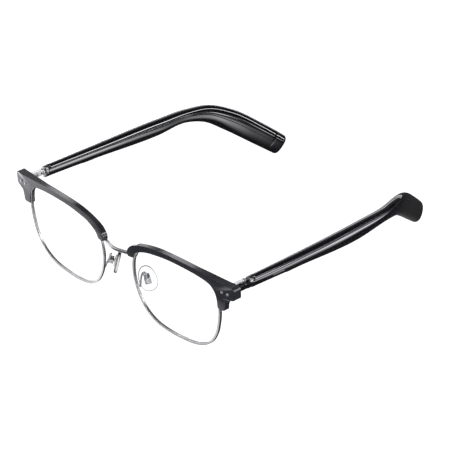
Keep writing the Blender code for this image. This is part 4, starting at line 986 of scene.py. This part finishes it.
def build_collar(side, label):
    """Silver plate that closes the front of the temple behind the hinge."""
    last_y = SHELL_FRONT_Y - 0.1
    stations = [(COLLAR_FRONT_Y + behind, share) for behind, share in COLLAR_FRONT]
    stations += [(last_y - ahead, share) for ahead, share in COLLAR_BACK]
    rings = []
    for y, shrink in stations:
        at = arm_length_at(y)
        half_w, half_h = half_sizes(at)
        cover_edge = half_w - COVER_WIDTH - COLLAR_GAP
        top = seam_heights(y)[1] + 0.1
        start = section_angle(top / shrink, half_h)
        angles = np.linspace(start, 1.5 * math.pi, 37)
        shape = [section_point(half_w * shrink, half_h * shrink, angle) for angle in angles]
        shape += [(cover_edge, -half_h * shrink * 0.985), (cover_edge, top)]
        rings.append(arm_points(side, at, shape))
    collar = skin(label + "_collar_ring", rings, "collar", label + "_temple", [label + "_collar"])
    soften(collar, SHELL_EDGE, 2, 50.0)


def build_tip_cap(side, label):
    """End of the temple behind a fine joint, with a rounded end face."""
    last = ARM_KEYS[-1]
    first = arm_length_at(CAP_START_Y) + CAP_GAP
    stations = [(first, 0.965), (first + 0.1, 1.0)]
    stations += [(at, 1.0) for at in np.linspace(first + 1.0, last - 2.2, 5)]
    for k in range(9):
        angle = math.radians(90 * k / 8)
        reach = CAP_ROUNDING * math.sin(angle)
        stations.append((last - CAP_ROUNDING + reach, 1.0 - CAP_SHRINK + CAP_SHRINK * math.cos(angle)))
    rings = []
    for at, shrink in stations:
        half_w, half_h = half_sizes(at)
        kept = CAP_HEIGHT_KEPT * (1 - shrink) / CAP_SHRINK if at > last - CAP_ROUNDING - 0.1 else 0.0
        tall = half_h * (shrink + (1 - shrink) * kept)
        shape = [section_point(half_w * shrink, tall, 2 * math.pi * k / 64) for k in range(64)]
        rings.append(arm_points(side, at, shape))
    cap = skin(label + "_end_cap", rings, "gloss", label + "_temple", [label + "_tip_cap"])
    soften(cap, 0.2, 2, 50.0)


def build_microphone(side, label):
    """Small dark port set into the crest: a raised ring with a mesh disc inside."""
    at = arm_length_at(MIC_Y)
    centre, tangent, out_axis, up_axis = arm_frame(side, at)
    base = centre + out_axis * MIC_OUTWARD + up_axis * (half_sizes(at)[1] - MIC_SUNK)
    rings = turned_rings(MIC_PROFILE, base, out_axis, tangent, up_axis, 28)
    skin(label + "_mic_port", rings, "speaker", label + "_temple", [label + "_microphone"])


def build_badge():
    """Plain inlaid bar on the outside of the left temple, following its curve."""
    rings = []
    for u in np.linspace(-1.0, 1.0, 23):
        at = arm_length_at(BADGE_Y + u * BADGE_HALF_LENGTH)
        half_w, half_h = half_sizes(at)
        rounding = max(abs(u) - 1.0 + BADGE_ROUND_SHARE, 0.0) / BADGE_ROUND_SHARE
        height = BADGE_HALF_HEIGHT * math.sqrt(max(1 - rounding**2, BADGE_END_SHARE))
        face, back = [], []
        for b in np.linspace(-height, height, 9):
            n, level = section_point(half_w, half_h, section_angle(b - BADGE_DROP, half_h))
            face.append((n + BADGE_PROUD - BADGE_CROWN * (b / height) ** 2, level))
            back.append((n - BADGE_DEPTH, level))
        rings.append(arm_points(1, at, face + back[::-1]))
    skin("left_badge_bar", rings, "badge", "left_temple", ["left_badge"])


# ---- carried-over nodes ----
KEPT = {
    "hinge_leaf": "hinge", "hinge_carriage": "hinge", "hinge_spring": "steel", "hinge_screw": "dark_steel",
    "leaf_screw": "dark_steel", "pad_core": "steel", "pad_screw": "dark_steel", "main_board": "board",
    "speaker": "speaker", "speaker_grille": "speaker", "battery": "foil", "touch_strip": "gold",
    "charge_port": "gold", "light_pipe": "pipe",
}
BEVELLED = {
    "hinge_leaf": 0.09, "pad_core": 0.08, "charge_port": 0.1, "speaker_grille": 0.1, "main_board": 0.08,
}


def dress_kept_nodes():
    """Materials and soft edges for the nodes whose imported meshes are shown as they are."""
    for name, obj in frame["nodes"].items():
        short = name.replace("left_", "").replace("right_", "")
        if short not in KEPT:
            continue
        obj.data.materials.clear()
        obj.data.materials.append(MATS[KEPT[short]])
        if short in BEVELLED:
            weld = obj.modifiers.new("weld", "WELD")
            weld.merge_threshold = 0.005 * MM
            soften(obj, BEVELLED[short], 2, 40.0)


# ---- studio ----
CAMERA_AZIMUTH = math.radians(44.83)
CAMERA_ELEVATION = math.radians(29.70)
CAMERA_ROLL = math.radians(1.62)
CAMERA_DISTANCE = 1079.9
CAMERA_LENS = 187.03
CAMERA_TARGET = (0.0, 60.0, 0.0)
CAMERA_SIDEWAYS = 4.01
CAMERA_UP = -14.64
SENSOR_WIDTH = 36.0


def build_camera():
    """Long lens looking down on the glasses from the wearer's front left."""
    az, el, roll = CAMERA_AZIMUTH, CAMERA_ELEVATION, CAMERA_ROLL
    back = np.array([math.sin(az) * math.cos(el), -math.cos(az) * math.cos(el), math.sin(el)])
    right = np.array([math.cos(az), math.sin(az), 0.0])
    up = np.cross(back, right)
    right, up = (math.cos(roll) * right + math.sin(roll) * up, -math.sin(roll) * right + math.cos(roll) * up)
    place = np.array(CAMERA_TARGET) + CAMERA_SIDEWAYS * right + CAMERA_UP * up + CAMERA_DISTANCE * back
    data = bpy.data.cameras.new("camera")
    data.lens = CAMERA_LENS
    data.sensor_width = SENSOR_WIDTH
    data.clip_start = 0.05
    camera = bpy.data.objects.new("camera", data)
    bpy.context.scene.collection.objects.link(camera)
    world = Matrix.Identity(4)
    for col, axis in enumerate((right, up, back)):
        unit = direction_to_world(axis)
        for row in range(3):
            world[row][col] = unit[row]
    world.translation = Vector(to_world([place])[0])
    camera.matrix_world = world
    bpy.context.scene.camera = camera


# The studio as the object's surfaces reflect it. Angles are in degrees about the length of the glasses:
# 0 is the horizon on the wearer's left, 90 overhead, 180 the horizon on the wearer's right.
SKY_LEVEL = 0.03
FRONT_LEVEL = 0.9
# (start, full, end of full, end, strength) of the soft lights overhead, by that angle
SKY_BANDS = [
    (84.0, 112.0, 114.0, 124.0, 0.22),
    (138.0, 142.5, 146.0, 150.5, 3.0),
    (153.0, 172.0, 180.0, 181.0, 1.4),
]
STRIP_PLANE = (-1.055, 1.05, 1.0)
STRIP_HALF = (0.012, 0.075)
STRIP_STRENGTH = 11.0
STRIP_END = (0.598, 0.618)
GLOW_START = (0.645, 0.685)
GLOW_END = (0.78, 0.9)
GLOW_HEIGHT = (0.0, 28.0)
GLOW_STRENGTH = 1.5
LEFT_ONLY = (0.2, 0.4)
COOL = (0.985, 0.985, 1.015, 1.0)
WHITE = (1.0, 1.0, 1.0, 1.0)

# The table's light below is painted: an emission pattern with a painted shadow under the glasses and painted
# lit patches around them. It is seen only in reflections and in the light it gives off.
TABLE_STRENGTH = 4.6
PAINTED_TABLE_SHADE = 0.04
TABLE_HALF = 4000.0
TABLE_DROP = 0.02
TABLE_TONES = ((0.44, 0.44, 0.44), (0.46, 0.46, 0.46))
TABLE_GLOW = 0.95
# Painted lit patches of the table. Each is a product of ramps (along, from, to, value before, value after),
# in
# millimetres: x to the wearer's left, y to the back from the middle of the glasses, "away" is -x, "width" is
# the distance from the middle, and the left and right edges move outwards towards the back.
PAINTED_TABLE_PATCHES = [
    [("left edge", 98.0, 138.0, 0.0, 1.0), ("y", -20.0, -6.0, 0.0, 1.0)],
    [("right edge", 88.0, 132.0, 0.0, 1.0), ("y", -90.0, -60.0, 0.0, 1.0)],
    [("away", 42.0, 150.0, 0.0, 0.47), ("y", -90.0, -60.0, 1.0, 0.0)],
    [
        ("between edge", -32.0, 2.0, 0.0, 1.0), ("x", 8.0, 32.0, 1.0, 0.25), ("x", 42.0, 62.0, 1.0, 0.0),
        ("y", -30.0, -8.0, 0.0, 1.0), ("y", 22.0, 45.0, 1.0, 0.45), ("y", 40.0, 58.0, 1.0, 0.3),
        ("y", 58.0, 80.0, 1.0, 0.0),
    ],
    [
        ("y", -109.0, -97.0, 0.0, 1.0), ("y", -80.0, -68.0, 1.0, 0.0), ("width", 60.0, 95.0, 1.0, 0.0),
        ("x", -45.0, 25.0, 0.36, 0.24),
    ],
    [("x", 70.0, 110.0, 0.0, 0.5), ("y", -150.0, -115.0, 1.0, 0.0)],
]
TABLE_WIDENING = (-30.0, 190.0, 0.0, 40.0)
TABLE_BETWEEN_SHIFT = (30.0, 52.0, 0.0, 16.0)
TABLE_BEHIND = (150.0, 230.0, 1.0, 0.1)
# This one goes by the distance from the middle, in metres.
TABLE_FAR = (0.25, 0.5, 1.0, 0.45)


def band(tree, value, start, full, full_end, end, strength):
    """Strength between two soft edges, 0 outside them."""
    rise = ramp(tree, value, start, full, 0.0, strength)
    fall = ramp(tree, value, full_end, end, 1.0, 0.0)
    return maths(tree, "MULTIPLY", rise, fall)


def chain_of(tree, operation, values):
    total = values[0]
    for value in values[1:]:
        total = maths(tree, operation, total, value)
    return total


def total_of(tree, values):
    return chain_of(tree, "ADD", values)


def product_of(tree, values):
    return chain_of(tree, "MULTIPLY", values)


def separate(tree, vector):
    split = tree.nodes.new("ShaderNodeSeparateXYZ")
    tree.links.new(vector, split.inputs[0])
    return split.outputs


def seen_by_eye(tree):
    """1 for what the camera sees directly or through something clear."""
    path = tree.nodes.new("ShaderNodeLightPath")
    return maths(tree, "MAXIMUM", path.outputs["Is Camera Ray"], path.outputs["Is Transmission Ray"])


def build_world():
    """A white room to the eye; surfaces reflect the studio's soft lights instead."""
    world = bpy.data.worlds.new("studio")
    bpy.context.scene.world = world
    world.use_nodes = True
    tree = world.node_tree
    tree.nodes.clear()
    x, y, z = separate(tree, coordinate(tree, "Generated"))
    angle = maths(tree, "MULTIPLY", maths(tree, "ARCTAN2", z, x), math.degrees(1.0))
    bands = [band(tree, angle, *values) for values in SKY_BANDS]
    # Slanting strip light beyond the left temple, seen in the inner side of the right one.
    normal = Vector(STRIP_PLANE).normalized()
    across = total_of(tree, [maths(tree, "MULTIPLY", value, k) for value, k in zip((x, y, z), normal)])
    on_left = ramp(tree, x, *LEFT_ONLY, 0.0, 1.0)
    strip = product_of(tree, [
        ramp(tree, maths(tree, "ABSOLUTE", across), *STRIP_HALF, STRIP_STRENGTH, 0.0),
        on_left, ramp(tree, y, *STRIP_END, 1.0, 0.05),
    ])
    # Low glow behind the left temple.
    glow = product_of(tree, [
        ramp(tree, y, *GLOW_START, 0.0, 1.0), ramp(tree, y, *GLOW_END, 1.0, 0.0),
        ramp(tree, angle, *GLOW_HEIGHT, GLOW_STRENGTH, 0.0), on_left,
    ])
    # The studio in front of the glasses is evenly lit, less so towards the top.
    front = product_of(tree, [
        ramp(tree, y, -0.75, -0.35, FRONT_LEVEL, 0.0), ramp(tree, z, 0.1, 0.9, 1.0, 0.3),
    ])
    total = maths(tree, "ADD", total_of(tree, bands + [strip, glow, front]), SKY_LEVEL)
    studio = tree.nodes.new("ShaderNodeBackground")
    tree.links.new(total, studio.inputs["Strength"])
    studio.inputs["Color"].default_value = COOL
    room = tree.nodes.new("ShaderNodeBackground")
    room.inputs["Color"].default_value = WHITE
    output = tree.nodes.new("ShaderNodeOutputWorld")
    blend_surface(tree, seen_by_eye(tree), studio, room, output.name)


def painted_table_light(tree):
    """Painted light and shade of the table by place: a painted shadow under the glasses, painted light
    around them.
    """
    place = coordinate(tree)
    x, y = (maths(tree, "MULTIPLY", metres, 1 / MM) for metres in separate(tree, place)[:2])
    away = maths(tree, "MULTIPLY", x, -1.0)
    widening = ramp(tree, y, *TABLE_WIDENING)
    along = {
        "x": x,
        "y": y,
        "away": away,
        "width": maths(tree, "ABSOLUTE", x),
        "left edge": maths(tree, "SUBTRACT", x, widening),
        "right edge": maths(tree, "SUBTRACT", away, widening),
        "between edge": maths(tree, "ADD", x, ramp(tree, y, *TABLE_BETWEEN_SHIFT)),
    }
    parts = [
        product_of(tree, [ramp(tree, along[key], *values) for key, *values in part])
        for part in PAINTED_TABLE_PATCHES
    ]
    distance = tree.nodes.new("ShaderNodeVectorMath")
    distance.operation = "LENGTH"
    tree.links.new(place, distance.inputs[0])
    painted_light = product_of(tree, [
        maths(tree, "MULTIPLY", total_of(tree, parts), TABLE_STRENGTH), ramp(tree, y, *TABLE_BEHIND),
        ramp(tree, distance.outputs["Value"], *TABLE_FAR),
    ])
    return maths(tree, "ADD", painted_light, PAINTED_TABLE_SHADE)


def build_floor():
    """Plain white table to the eye; what shines in the object is the table's painted light and painted
    shadow.
    """
    bm = bmesh.new()
    bmesh.ops.create_grid(bm, x_segments=1, y_segments=1, size=TABLE_HALF * MM)
    mesh = bpy.data.meshes.new("floor")
    bm.to_mesh(mesh)
    bm.free()
    floor = bpy.data.objects.new("floor", mesh)
    bpy.context.scene.collection.objects.link(floor)
    floor.location.z = -TABLE_DROP * MM
    mat, tree, shader = new_material("pale_table")
    tree.links.new(mix_colour(tree, noise(tree, 3.0, 2.0), *TABLE_TONES), shader.inputs["Base Color"])
    set_inputs(shader, {"Roughness": 0.9, "Specular IOR Level": 0.0})
    set_inputs(shader, {"Emission Color": WHITE, "Emission Strength": TABLE_GLOW})
    painted_light = tree.nodes.new("ShaderNodeEmission")
    tree.links.new(painted_table_light(tree), painted_light.inputs["Strength"])
    painted_light.inputs["Color"].default_value = COOL
    blend_surface(tree, seen_by_eye(tree), painted_light, shader)
    mat.cycles.emission_sampling = "NONE"
    mesh.materials.append(mat)


BUILT_PER_SIDE = (
    build_eyewire, build_lens, build_brow, build_pad_arm, build_pad_holder, build_nose_pad,
    build_upper_shell, build_lower_shell, build_collar, build_tip_cap, build_microphone,
)


def main():
    build_bridge()
    for side, label in ((1, "left"), (-1, "right")):
        for build in BUILT_PER_SIDE:
            build(side, label)
    build_badge()
    dress_kept_nodes()
    build_camera()
    build_world()
    build_floor()
    bpy.context.scene.view_settings.view_transform = "Standard"


main()
